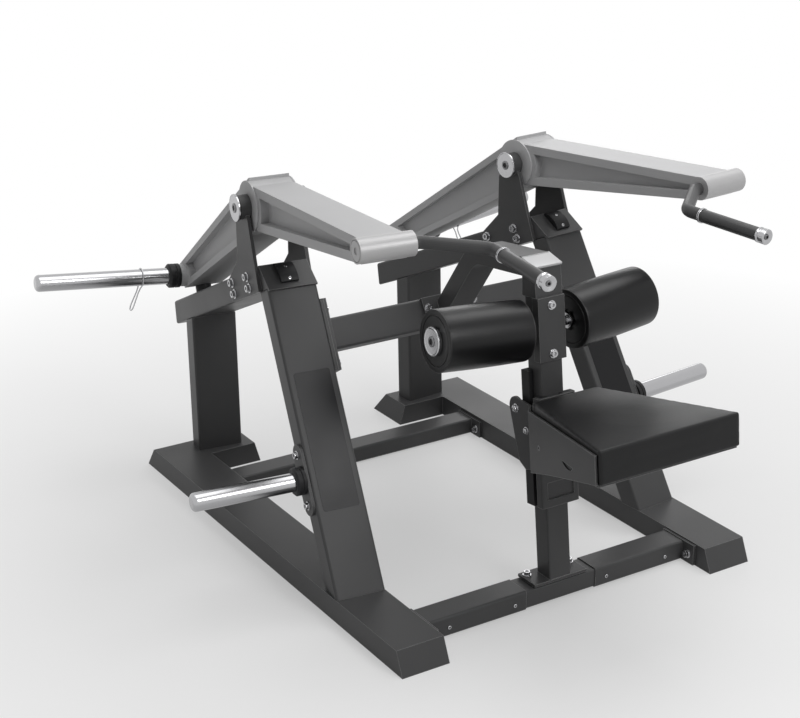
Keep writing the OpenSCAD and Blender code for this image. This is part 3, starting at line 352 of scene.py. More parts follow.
@dataclass(frozen=True)
class Layout:
    """Where the machine's working frames are, repeated from the CAD source, in mm and degrees."""

    toe: float = 6.36
    pivot: Point = (435.7, 851.3, 974.3)
    column_y: float = 113.0
    column_foot: float = 58.0
    column_lean: float = 6.84
    upright_fwd: float = 535.0
    upright_lean: float = 30.6
    rail_h: float = 65.0
    roller_z: float = 740.3
    roller_back: float = 8.0
    roller_sweep: float = 4.06
    roller_rise: float = 3.38
    elbow: Point = (-231.0, -819.0, 73.0)
    tip: Point = (-231.0, -1078.0, 64.8)

    def whole(self) -> Matrix:
        """The source's frame, whose Y starts at the rails' front."""
        return move(0, -ORIGIN_BACK, 0)

    def half(self, side: Side) -> Matrix:
        """Mirrors the left side."""
        return self.whole() @ Matrix.Diagonal((side.value, 1, 1, 1))

    def beside(self, side: Side) -> Matrix:
        """Frame of a side unit: X outboard, Y rearward, Z up from the floor under the pivot."""
        return self.half(side) @ move(self.pivot[0], self.pivot[1], 0) @ turn("Z", self.toe)

    def at_pivot(self, side: Side) -> Matrix:
        """Frame of a side unit at its pivot."""
        return self.beside(side) @ move(0, 0, self.pivot[2])

    def on_upright(self, side: Side, height: float) -> Matrix:
        """Frame on a leaning upright's middle line at a height, Z along the upright.

        Args:
            side: The machine's side.
            height: Height above the floor in mm.

        Returns:
            The frame's matrix.
        """
        back = math.tan(math.radians(self.upright_lean)) * (height - self.rail_h)
        foot = move(0, back - self.upright_fwd, height)
        return self.beside(side) @ foot @ turn("X", -self.upright_lean)

    def on_column(self, side: Side) -> Matrix:
        """Frame of the leaning seat column, Z along it, X toward a side."""
        foot = self.whole() @ move(0, self.column_y, self.column_foot)
        return foot @ turn("X", -self.column_lean) @ Matrix.Diagonal((side.value, 1, 1, 1))

    def on_roller(self, side: Side) -> Matrix:
        """Frame of a roller's shaft, Z outward along it from the machine's middle."""
        back = self.column_y - self.roller_back
        back += (self.roller_z - self.column_foot) * math.tan(math.radians(self.column_lean))
        middle = self.half(side) @ move(0, back, self.roller_z)
        return middle @ turn("Z", self.roller_sweep) @ turn("Y", 90 - self.roller_rise)

    def on_grip(self, side: Side) -> Matrix:
        """Frame of a handle's straight end, Z along it from the elbow."""
        along = self.handle().normalized()
        across = Vector((1, 0, 0))
        turned = Matrix((across, along.cross(across), along)).transposed().to_4x4()
        return self.at_pivot(side) @ Matrix.Translation(self.elbow) @ turned

    def handle(self) -> Vector:
        """The way from a handle's elbow to its tip in mm."""
        return Vector(self.tip) - Vector(self.elbow)


LAYOUT = Layout()


# ---- Finishes ----


class Sheet:
    """A node tree under work."""

    def __init__(self, tree: Tree) -> None:
        """Takes over a node tree.

        Args:
            tree: The tree, emptied here.
        """
        self.tree = tree
        tree.nodes.clear()

    def node(
        self, kind: str, values: dict[str | int, object] | None = None, **settings: object
    ) -> Node:
        """Adds a node.

        Args:
            kind: The node's type.
            values: Its inputs, each a value or a socket that is linked to it.
            settings: Its own settings.

        Returns:
            The node.
        """
        made = self.tree.nodes.new(kind)
        for key, value in settings.items():
            setattr(made, key, value)
        for spot, value in (values or {}).items():
            if isinstance(value, Socket):
                self.tree.links.new(value, made.inputs[spot])
            else:
                made.inputs[spot].default_value = value
        return made

    def span(
        self, value: Socket, low: float, high: float, to_low: float, to_high: float
    ) -> Socket:
        """Maps one range of a value to another, clamped.

        Args:
            value: The value's socket.
            low: Start of its range.
            high: End of its range.
            to_low: What the start becomes.
            to_high: What the end becomes.

        Returns:
            The mapped value's socket.
        """
        values = {0: value, 1: low, 2: high, 3: to_low, 4: to_high}
        return self.node("ShaderNodeMapRange", values).outputs[0]

    def maths(self, way: str, first: Socket, second: Socket | float) -> Socket:
        """Does one sum.

        Args:
            way: What is done, such as ADD.
            first: The first value.
            second: The second value or its socket.

        Returns:
            The result's socket.
        """
        return self.node("ShaderNodeMath", {0: first, 1: second}, operation=way).outputs[0]

    def vector(self, way: str, values: dict[str | int, object]) -> bpy.types.NodeOutputs:
        """Does one sum with vectors.

        Args:
            way: What is done, such as SCALE.
            values: Its inputs.

        Returns:
            The sum's output sockets.
        """
        return self.node("ShaderNodeVectorMath", values, operation=way).outputs

    def shared(self, group: Tree, values: dict[str | int, object]) -> Node:
        """Adds a node that runs a shared group.

        Args:
            group: The group's tree.
            values: Its inputs.

        Returns:
            The node.
        """
        return self.node("ShaderNodeGroup", values, node_tree=group)

    def places(self) -> Socket:
        """The socket of a point's place on its object."""
        return self.node("ShaderNodeTexCoord").outputs["Object"]

    def noise(self, detail: float, roughness: float, scale: Socket | float) -> Node:
        """Adds noise over the object's places.

        Args:
            detail: How many finer layers it has.
            roughness: How strong they are.
            scale: Its scale per metre.

        Returns:
            The noise's node.
        """
        return self.node("ShaderNodeTexNoise", {
            "Vector": self.places(), "Detail": detail, "Roughness": roughness, "Scale": scale,
        })


class Effects:
    """Shader groups that several finishes share, each built once."""

    def __init__(self) -> None:
        """Builds the groups."""
        self.tone = self._tone()
        self.edge = self._edge()
        self.speckle = self._speckle()
        self.hide = self._hide()

    @staticmethod
    def _group(
        name: str, ins: dict[str, str], outs: dict[str, str]
    ) -> tuple[Sheet, bpy.types.NodeOutputs]:
        """Starts a group with its sockets.

        Args:
            name: The group's name.
            ins: Name of each input and its kind: Color, Vector or Float.
            outs: The same for each output.

        Returns:
            The group's sheet and the sockets that give its inputs.
        """
        tree = bpy.data.node_groups.new(name, "ShaderNodeTree")
        for way, sockets in (("INPUT", ins), ("OUTPUT", outs)):
            for label, kind in sockets.items():
                tree.interface.new_socket(label, in_out=way, socket_type=f"NodeSocket{kind}")
        sheet = Sheet(tree)
        return sheet, sheet.node("NodeGroupInput").outputs

    def _tone(self) -> Tree:
        """Slow drift of a colour over a surface, and the noise behind it as a mask."""
        sheet, ins = self._group(
            "tone_drift", {"Color": "Color", "Amount": "Float", "Scale": "Float"},
            {"Color": "Color", "Mask": "Float"},
        )
        noise = sheet.noise(detail=4.0, roughness=0.6, scale=ins["Scale"])
        spread = sheet.span(noise.outputs["Fac"], *NOISE_SPAN, -1.0, 1.0)
        lift = sheet.maths("ADD", sheet.maths("MULTIPLY", spread, ins["Amount"]), 1.0)
        bright = sheet.vector("SCALE", {0: ins["Color"], "Scale": lift})
        sheet.node("NodeGroupOutput", {"Color": bright[0], "Mask": noise.outputs["Fac"]})
        return sheet.tree

    def _edge(self) -> Tree:
        """A rounded edge's normal, and a mask of where the edge is."""
        sheet, ins = self._group(
            "soft_edge", {"Radius": "Float"}, {"Normal": "Vector", "Mask": "Float"}
        )
        bevel = sheet.node("ShaderNodeBevel", {"Radius": ins["Radius"]}, samples=6).outputs[0]
        plain = sheet.node("ShaderNodeNewGeometry").outputs["Normal"]
        turned = sheet.vector("DOT_PRODUCT", {0: bevel, 1: plain})["Value"]
        mask = sheet.span(turned, 0.998, 0.86, 0.0, 1.0)
        sheet.node("NodeGroupOutput", {"Normal": bevel, "Mask": mask})
        return sheet.tree

    def _speckle(self) -> Tree:
        """Height of a sprayed or moulded surface: fine grains over a faint orange peel."""
        sheet, ins = self._group(
            "speckle", {"Scale": "Float", "Peel": "Float"}, {"Height": "Float"}
        )
        fine = sheet.noise(detail=2.0, roughness=0.5, scale=ins["Scale"])
        broad = sheet.noise(detail=1.0, roughness=0.5, scale=90.0)
        peel = sheet.maths("MULTIPLY", broad.outputs["Fac"], ins["Peel"])
        sheet.node("NodeGroupOutput", {"Height": sheet.maths("ADD", fine.outputs["Fac"], peel)})
        return sheet.tree

    def _hide(self) -> Tree:
        """Height of embossed upholstery vinyl: small cells with creases between them."""
        sheet, ins = self._group(
            "hide", {"Scale": "Float", "Peel": "Float"}, {"Height": "Float"}
        )
        wander = sheet.noise(detail=2.0, roughness=0.5, scale=60.0)
        pull = sheet.vector("SCALE", {0: wander.outputs["Color"], "Scale": 0.004})
        spot = sheet.vector("ADD", {0: sheet.places(), 1: pull[0]})
        cells = sheet.node("ShaderNodeTexVoronoi", {"Vector": spot[0], "Scale": ins["Scale"]},
                           feature="DISTANCE_TO_EDGE")
        crease = sheet.span(cells.outputs["Distance"], 0.0, 0.18, 0.0, 1.0)
        peel = sheet.maths("MULTIPLY", wander.outputs["Fac"], ins["Peel"])
        sheet.node("NodeGroupOutput", {"Height": sheet.maths("ADD", crease, peel)})
        return sheet.tree


@dataclass(frozen=True)
class Finish:
    """One finish of the machine, as the numbers a painter would name."""

    name: str
    colour: Point
    roughness: float
    metallic: float = 0.0
    pattern: Pattern = Pattern.SPECKLE
    grain: float = 900.0
    relief: float = 0.00008
    peel: float = 0.3
    drift: float = 0.06
    drift_scale: float = 4.0
    rough_spread: float = 0.05
    edge_radius: float = 0.0016
    # share of painted highlight mixed into the colour along rounded edges
    edge_light: float = 0.0
    specular: float = 0.5

    def build(self, effects: Effects) -> bpy.types.Material:
        """Makes the material.

        Args:
            effects: The shared shader groups.

        Returns:
            The material.
        """
        material = bpy.data.materials.new(self.name)
        material.use_nodes = True
        sheet = Sheet(material.node_tree)
        tone = sheet.shared(effects.tone, {
            "Color": (*self.colour, 1.0), "Amount": self.drift, "Scale": self.drift_scale,
        })
        edge = sheet.shared(effects.edge, {"Radius": self.edge_radius})
        colour = tone.outputs["Color"]
        # lighten the colour towards grey where the bevel mask finds an edge: a painted highlight
        if self.edge_light:
            share = sheet.maths("MULTIPLY", edge.outputs["Mask"], self.edge_light)
            highlight_mix = {0: share, 6: colour, 7: PAINTED_EDGE_HIGHLIGHT}
            mixed = sheet.node("ShaderNodeMix", highlight_mix, data_type="RGBA", clamp_factor=True)
            colour = mixed.outputs[2]
        rough = sheet.span(tone.outputs["Mask"], *NOISE_SPAN, self.roughness - self.rough_spread,
                           self.roughness + self.rough_spread)
        group = effects.hide if self.pattern is Pattern.HIDE else effects.speckle
        grain = sheet.shared(group, {"Scale": self.grain, "Peel": self.peel})
        bump = sheet.node("ShaderNodeBump", {
            "Strength": 1.0, "Distance": self.relief, "Height": grain.outputs["Height"],
            "Normal": edge.outputs["Normal"],
        })
        skin = sheet.node("ShaderNodeBsdfPrincipled", {
            "Metallic": self.metallic, "Specular IOR Level": self.specular,
            "Base Color": colour, "Roughness": rough, "Normal": bump.outputs[0],
        })
        sheet.node("ShaderNodeOutputMaterial", {"Surface": skin.outputs[0]})
        return material


@dataclass
class Palette:
    """The machine's finishes, each made on first use."""

    effects: Effects
    frame_paint: Finish = Finish(
        "graphite_powder_coat", (0.064, 0.064, 0.065), 0.4, specular=0.22,
        edge_light=0.5, edge_radius=0.0022, drift=0.07,
    )
    arm_paint: Finish = Finish(
        "silver_powder_coat", (0.49, 0.49, 0.495), 0.5, metallic=0.1, specular=0.2,
        edge_light=0.35, edge_radius=0.002, drift=0.04, grain=1200.0,
    )
    tube_paint: Finish = Finish(
        "bright_silver_tube", (0.46, 0.457, 0.46), 0.4, metallic=0.2,
        edge_light=0.5, drift=0.05, grain=1500.0, relief=0.00012,
    )
    cover_plate: Finish = Finish(
        "satin_cover", (0.5, 0.5, 0.505), 0.4, metallic=0.2,
        edge_light=0.5, edge_radius=0.001, drift=0.04, grain=1500.0,
    )
    chrome: Finish = Finish(
        "polished_chrome", (0.43, 0.43, 0.44), 0.2, metallic=1.0,
        edge_radius=0.0008, drift=0.02, relief=0.00001, rough_spread=0.03,
    )
    screw: Finish = Finish(
        "dark_zinc", (0.2, 0.2, 0.205), 0.32, metallic=0.9,
        edge_radius=0.0004, drift=0.05, relief=0.00001,
    )
    rubber: Finish = Finish(
        "black_rubber", (0.014, 0.014, 0.015), 0.5, specular=0.22,
        edge_light=0.05, drift=0.12, grain=700.0, relief=0.0001,
    )
    grip_rubber: Finish = Finish(
        "ribbed_grip_rubber", (0.04, 0.04, 0.041), 0.4, specular=0.4,
        edge_light=0.1, drift=0.1, grain=500.0, relief=0.00015,
    )
    vinyl: Finish = Finish(
        "black_vinyl", (0.009, 0.009, 0.0095), 0.36, specular=0.2, pattern=Pattern.HIDE,
        edge_light=0.12, edge_radius=0.004, drift=0.1, grain=420.0, relief=0.0001,
    )
    roller_vinyl: Finish = Finish(
        "taut_black_vinyl", (0.006, 0.006, 0.0065), 0.3, specular=0.25, pattern=Pattern.HIDE,
        edge_light=0.1, edge_radius=0.002, drift=0.05, grain=520.0, relief=0.00005,
        rough_spread=0.015,
    )
    # also painted into screw sockets as shade
    plate: Finish = Finish(
        "bare_dark_plate", (0.006, 0.006, 0.007), 0.3, specular=0.2,
        edge_radius=0.0005, drift=0.05, relief=0.00001,
    )
    made: dict[str, bpy.types.Material] = field(default_factory=dict)

    def material(self, finish: Finish) -> bpy.types.Material:
        """A finish's material.

        Args:
            finish: One of this palette's finishes.

        Returns:
            The material, the same one each time.
        """
        if finish.name not in self.made:
            self.made[finish.name] = finish.build(self.effects)
        return self.made[finish.name]

    def paint(self, piece: Piece, finish: Finish) -> None:
        """Gives a piece one finish all over.

        Args:
            piece: A new piece or a CAD node.
            finish: The finish.
        """
        piece.data.materials.clear()
        piece.data.materials.append(self.material(finish))


def mount(piece: Piece, body: str, palette: Palette, finish: Finish) -> None:
    """Paints a new piece, lets it ride on its body and reports it.

    Args:
        piece: The piece, in place.
        body: The CAD body that it rides on.
        palette: The machine's finishes.
        finish: The piece's finish.
    """
    palette.paint(piece, finish)
    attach(piece, body)
    log.info("%s on %s, %d faces", piece.name, body, len(piece.data.polygons))


# ---- Sub-assemblies ----


@dataclass
class CadFinishes:
    """Which finish each CAD node takes."""

    palette: Palette

    def finish_of(self, node: str) -> Finish:
        """The finish of a CAD node, by the words in its name.

        Args:
            node: The node's name.

        Returns:
            The finish.
        """
        soft = ("collar", "grip", "bumper", "rest_stop", "guide_strips", "latch_pin")
        words = {
            self.palette.tube_paint: ("end_tube",),
            self.palette.arm_paint: ("arm_beam",),
            self.palette.rubber: soft,
            self.palette.chrome: ("horn", "shaft", "trim", "clip", "frame_bolts"),
            self.palette.vinyl: ("seat_pad", "roller"),
        }
        for finish, names in words.items():
            if any(word in node for word in names):
                return finish
        return self.palette.frame_paint

    def dress(self, nodes: dict[str, Piece]) -> None:
        """Paints every CAD node.

        Args:
            nodes: The CAD nodes by name.
        """
        for name, node in nodes.items():
            finish = self.finish_of(name)
            self.palette.paint(node, finish)
            log.info("CAD node %s takes %s", name, finish.name)


@dataclass
class SocketScrew:
    """A button-head screw with a hexagon socket, standing on Z = 0."""

    head: float
    height: float
    socket: float
    crown: float = 0.45
    floor: float = 0.3

    def make(self, name: str) -> Piece:
        """Models the screw and marks the faces in its socket, which are painted dark as shade.

        Args:
            name: The piece's name.

        Returns:
            The screw in its own frame, in mm.
        """
        screw = Bench.round_bar(name, self.head, self.height, sides=32)
        Bench.pick(screw, "EDGE", lambda a, b: min(a.z, b.z) > self.height - NEAR)
        Bench.round_edges(self.height * self.crown, rounds=3)
        cutter = Bench.round_bar(f"{name}_cutter", self.socket, self.height, sides=6)
        cutter.data.transform(move(0, 0, self.height * self.floor))
        Bench.subtract(screw, cutter)
        # faces down in the socket take the dark plate finish: painted shade in the recess
        for face in screw.data.polygons:
            sunk = NEAR < face.center.z < self.height - NEAR
            inside = face.center.xy.length < self.socket + NEAR
            face.material_index = 1 if sunk and inside else 0
        return screw


@dataclass
class HexBolt:
    """A hexagon head on a washer, standing on Z = 0."""

    head: float
    height: float
    washer: float = 1.25
    washer_t: float = 1.6
    lift: float = 1.5
    edge: float = 0.4
    dimple: float = 0.2

    def make(self, name: str) -> Piece:
        """Models the bolt's head.

        Args:
            name: The piece's name.

        Returns:
            The head in its own frame, in mm.
        """
        washer = Bench.round_bar(f"{name}_washer", self.head * self.washer, self.washer_t, sides=32)
        Bench.soften(washer, self.edge, rounds=2)
        bolt = Bench.round_bar(name, self.head, self.height, sides=6)
        for point in bolt.data.vertices:
            point.co.z += self.lift
        Bench.pick(bolt, "FACE", lambda c, n: n.z > FLAT)
        inset = self.head * self.dimple
        bpy.ops.mesh.inset(thickness=inset, depth=inset / 2)
        Bench.leave()
        Bench.soften(bolt, self.edge, rounds=2, angle=50)
        Bench.join(bolt, washer)
        return bolt


@dataclass
class SeatCushion:
    """The seat pad: foam under tight vinyl, a little swollen between crisp edges."""

    palette: Palette
    voxel: float = 0.004
    pressure: float = 2.5
    stiffness: float = 60.0
    cap: float = 0.0018
    frames: int = 14
    crease: float = 22.0
    rings: int = 2
    shade: float = 50.0
    waist: float = 1.6
    waist_levels: Point = (443.5, 479.5, 516.5)

    def make(self) -> None:
        """Models the pad from its solid's form and puts it on the seat."""
        pad = Bench.again(frame["nodes"]["seat_pad"], "seat_cushion")
        Bench.edit(pad, whole=True)
        bpy.ops.mesh.remove_doubles(threshold=1e-5)
        Bench.leave()
        self.swell(pad)
        Bench.hold(pad)
        bpy.ops.object.shade_smooth_by_angle(angle=math.radians(self.shade))
        Bench.clear()
        mount(pad, "seat", self.palette, self.palette.vinyl)
        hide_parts("seat_pad")

    def hold_edges(self, pad: Piece) -> None:
        """Puts the points near the pad's edges in a group that the cloth keeps still.

        Args:
            pad: The pad's closed mesh.
        """
        Bench.edit(pad, "EDGE")
        bpy.ops.mesh.edges_select_sharp(sharpness=math.radians(self.crease))
        for _ in range(self.rings):
            bpy.ops.mesh.select_more()
        Bench.leave()
        held = [point.index for point in pad.data.vertices if point.select]
        group = pad.vertex_groups.new(name="seams")
        group.add(held, 1.0, "REPLACE")
        log.info("seat_cushion holds %d points at its edges", len(held))

    def fill(self, spot: Vector) -> float:
        """How far out a side point must go to stand level with the rims, as the solid has a waist.

        Args:
            spot: A point of the pad in metres.

        Returns:
            The way in metres, 0 above and below the waist.
        """
        low, middle, high = self.waist_levels
        height = (LAYOUT.on_column(Side.RIGHT).inverted() @ (spot / MM)).z
        share = min((height - low) / (middle - low), (high - height) / (high - middle))
        return max(0.0, share) * self.waist * MM

    def swell(self, pad: Piece) -> None:
        """Blows the faces up a little as cloth, outward only, with the edges held.

        Args:
            pad: The pad's closed mesh in metres.
        """
        Bench.apply(pad, "REMESH", mode="VOXEL", voxel_size=self.voxel, use_smooth_shade=True)
        self.hold_edges(pad)
        before = [(point.co.copy(), point.normal.copy()) for point in pad.data.vertices]
        cloth = pad.modifiers.new("cloth", "CLOTH")
        cloth.settings.use_pressure = True
        cloth.settings.uniform_pressure_force = self.pressure
        cloth.settings.effector_weights.gravity = 0.0
        cloth.settings.tension_stiffness = self.stiffness
        cloth.settings.compression_stiffness = self.stiffness
        cloth.settings.vertex_group_mass = "seams"
        cloth.point_cache.frame_start = 1
        cloth.point_cache.frame_end = self.frames
        scene = bpy.context.scene
        for number in range(1, self.frames + 1):
            scene.frame_set(number)
        Bench.hold(pad)
        bpy.ops.object.modifier_apply(modifier=cloth.name)
        scene.frame_set(1)
        moved = 0.0
        for point, (rest, outward) in zip(pad.data.vertices, before):
            push = max(self.fill(rest), min(self.cap, (point.co - rest).dot(outward)))
            point.co = rest + outward * push
            moved = max(moved, push)
        log.info("seat_cushion swelled by up to %.1f mm", moved / MM)


@dataclass
class ThighRoller:
    """A thigh roller: a foam tube under vinyl with sewn-in end discs, turning on the shaft."""

    palette: Palette
    side: Side
    radius: float = 81.5
    length: float = 247.0
    inner: float = 78.0
    crown: float = 1.5
    rim: float = 5.0
    band: float = 8.0
    piping: float = 1.2
    groove: tuple[tuple[float, float], ...] = ((1.2, -2.6), (1.6, 0), (1.2, 2.0))
    cuts: int = 12
    hub: float = 30.0
    wall: float = 2.0
    dish: float = 9.0
    bore: float = 13.0
    sink: float = 1.5
    mouth: tuple[float, float] = (1.0, -0.5)
    skin: float = 0.5

    def make(self) -> None:
        """Models the roller and puts it on its shaft."""
        radius = self.radius - self.crown
        pad = Bench.round_bar(f"{self.side.label}_roller_pad", radius, self.length, sides=96)
        disc = radius - self.rim - self.band - sum(inset for inset, _ in self.groove)
        floor = self.hub - self.wall - self.bore - self.mouth[0]
        steps = (
            (self.rim + self.band, 0), *self.groove, (disc - self.hub, 0),
            (self.wall, -self.dish), (floor, -self.sink), self.mouth,
        )
        Bench.turn_ends(pad, steps, self.length)
        for end in (0.0, self.length):
            Bench.pick(pad, "EDGE", lambda a, b, z=end: (
                max(abs(a.z - z), abs(b.z - z)) < NEAR
                and min(a.xy.length, b.xy.length) > radius - self.skin
            ))
            Bench.round_edges(self.rim, rounds=6)
        span = self.length - 2 * self.rim
        for step in range(1, self.cuts):
            Bench.edit(pad, whole=True)
            height = self.rim + span * step / self.cuts
            bpy.ops.mesh.bisect(plane_co=(0, 0, height), plane_no=(0, 0, 1))
            Bench.leave()
        for point in pad.data.vertices:
            out = point.co.xy.length
            if out > radius - self.skin and self.rim <= point.co.z <= self.length - self.rim:
                lift = self.crown * math.sin(math.pi * (point.co.z - self.rim) / span)
                point.co.x *= (out + lift) / out
                point.co.y *= (out + lift) / out
        self.pipe(pad, radius)
        Bench.set_down(pad, LAYOUT.on_roller(self.side) @ move(0, 0, self.inner), angle=40)
        body = f"{self.side.label}_thigh_roller"
        mount(pad, body, self.palette, self.palette.roller_vinyl)
        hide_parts(f"{self.side.label}_roller")

    def pipe(self, pad: Piece, radius: float) -> None:
        """Sews a piping round both rims.

        Args:
            pad: The roller in its working frame.
            radius: The roller's radius at its ends in mm.
        """
        inward = self.rim * (1 - math.sqrt(0.5))
        for height in (inward, self.length - inward):
            Bench.clear()
            bpy.ops.mesh.primitive_torus_add(
                location=(0, 0, height), major_radius=radius - inward, minor_radius=self.piping,
                major_segments=96, minor_segments=8,
            )
            Bench.join(pad, Bench.named(f"{pad.name}_piping"))
        Bench.clear()


@dataclass
class HandGrip:
    """The rubber sleeve on a handle's straight end."""

    palette: Palette
    side: Side
    radius: float = 16.8
    core: float = 12.1
    length: float = 178.0
    tip: float = 26.0
    ledge: tuple[tuple[float, float], ...] = ((1.6, 0), (0.5, -0.6))
    edge: float = 1.2
    skin: float = 0.2

    def make(self) -> None:
        """Models the grip and puts it on its handle."""
        start = LAYOUT.handle().length - self.tip - self.length
        grip = Bench.round_bar(f"{self.side.label}_rubber_grip", self.radius, self.length, sides=48)
        mouth = self.radius - self.core - sum(inset for inset, _ in self.ledge)
        steps = (*self.ledge, (mouth, 0))
        Bench.turn_ends(grip, steps, self.length)
        Bench.pick(grip, "EDGE", lambda a, b: (
            abs(a.z - b.z) < NEAR
            and min(a.xy.length, b.xy.length) > self.radius - self.skin
        ))
        Bench.round_edges(self.edge, rounds=3)
        Bench.set_down(grip, LAYOUT.on_grip(self.side) @ move(0, 0, start), angle=40)
        mount(grip, f"{self.side.label}_arm", self.palette, self.palette.grip_rubber)
        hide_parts(f"{self.side.label}_grip")


@dataclass
class PivotHub:
    """The turned rings round an arm's pivot: a flange on each face of the arm, and two thin black
    rings that paint the shade in the gaps between the pivot caps and the boss.

    A ring's sizes are its outer radius, its bore's radius, its width and its chamfer in mm.
    """

    palette: Palette
    side: Side
    flange: tuple[float, ...] = (69.0, 15.6, 5.4, 1.2)
    flange_from: float = 57.8
    # thin black ring that stands in for the shade in the gap under a pivot cap: painted shade
    seal: tuple[float, ...] = (34.6, 32.0, 3.2, 0.5)
    seal_from: float = 93.6

    @staticmethod
    def ring(name: str, outer: float, inner: float, width: float, chamfer: float) -> Piece:
        """Turns a flat ring that stands on Z = 0.

        Args:
            name: The ring's name.
            outer: Its outer radius in mm.
            inner: Its bore's radius in mm.
            width: Its width in mm.
            chamfer: Width of the chamfers in mm.

        Returns:
            The ring.
        """
        ring = Bench.round_bar(name, outer, width, sides=96)
        cutter = Bench.round_bar(f"{name}_bore", inner, 3 * width, sides=64)
        cutter.data.transform(move(0, 0, -width))
        Bench.subtract(ring, cutter)
        Bench.soften(ring, chamfer, rounds=2, angle=50)
        return ring

    def make(self) -> None:
        """Turns the rings and slides them on."""
        label, paints = self.side.label, self.palette
        for word, way in (("outer", 90), ("inner", -90)):
            axis = LAYOUT.at_pivot(self.side) @ turn("Y", way)
            flange = self.ring(f"{label}_{word}_hub_flange", *self.flange)
            Bench.set_down(flange, axis @ move(0, 0, self.flange_from), angle=25)
            mount(flange, f"{label}_arm", paints, paints.arm_paint)
            # a thin black ring by the cap: painted shade in the gap
            seal = self.ring(f"{label}_{word}_pivot_seal", *self.seal)
            Bench.set_down(seal, axis @ move(0, 0, self.seal_from), angle=25)
            mount(seal, "frame", paints, paints.rubber)


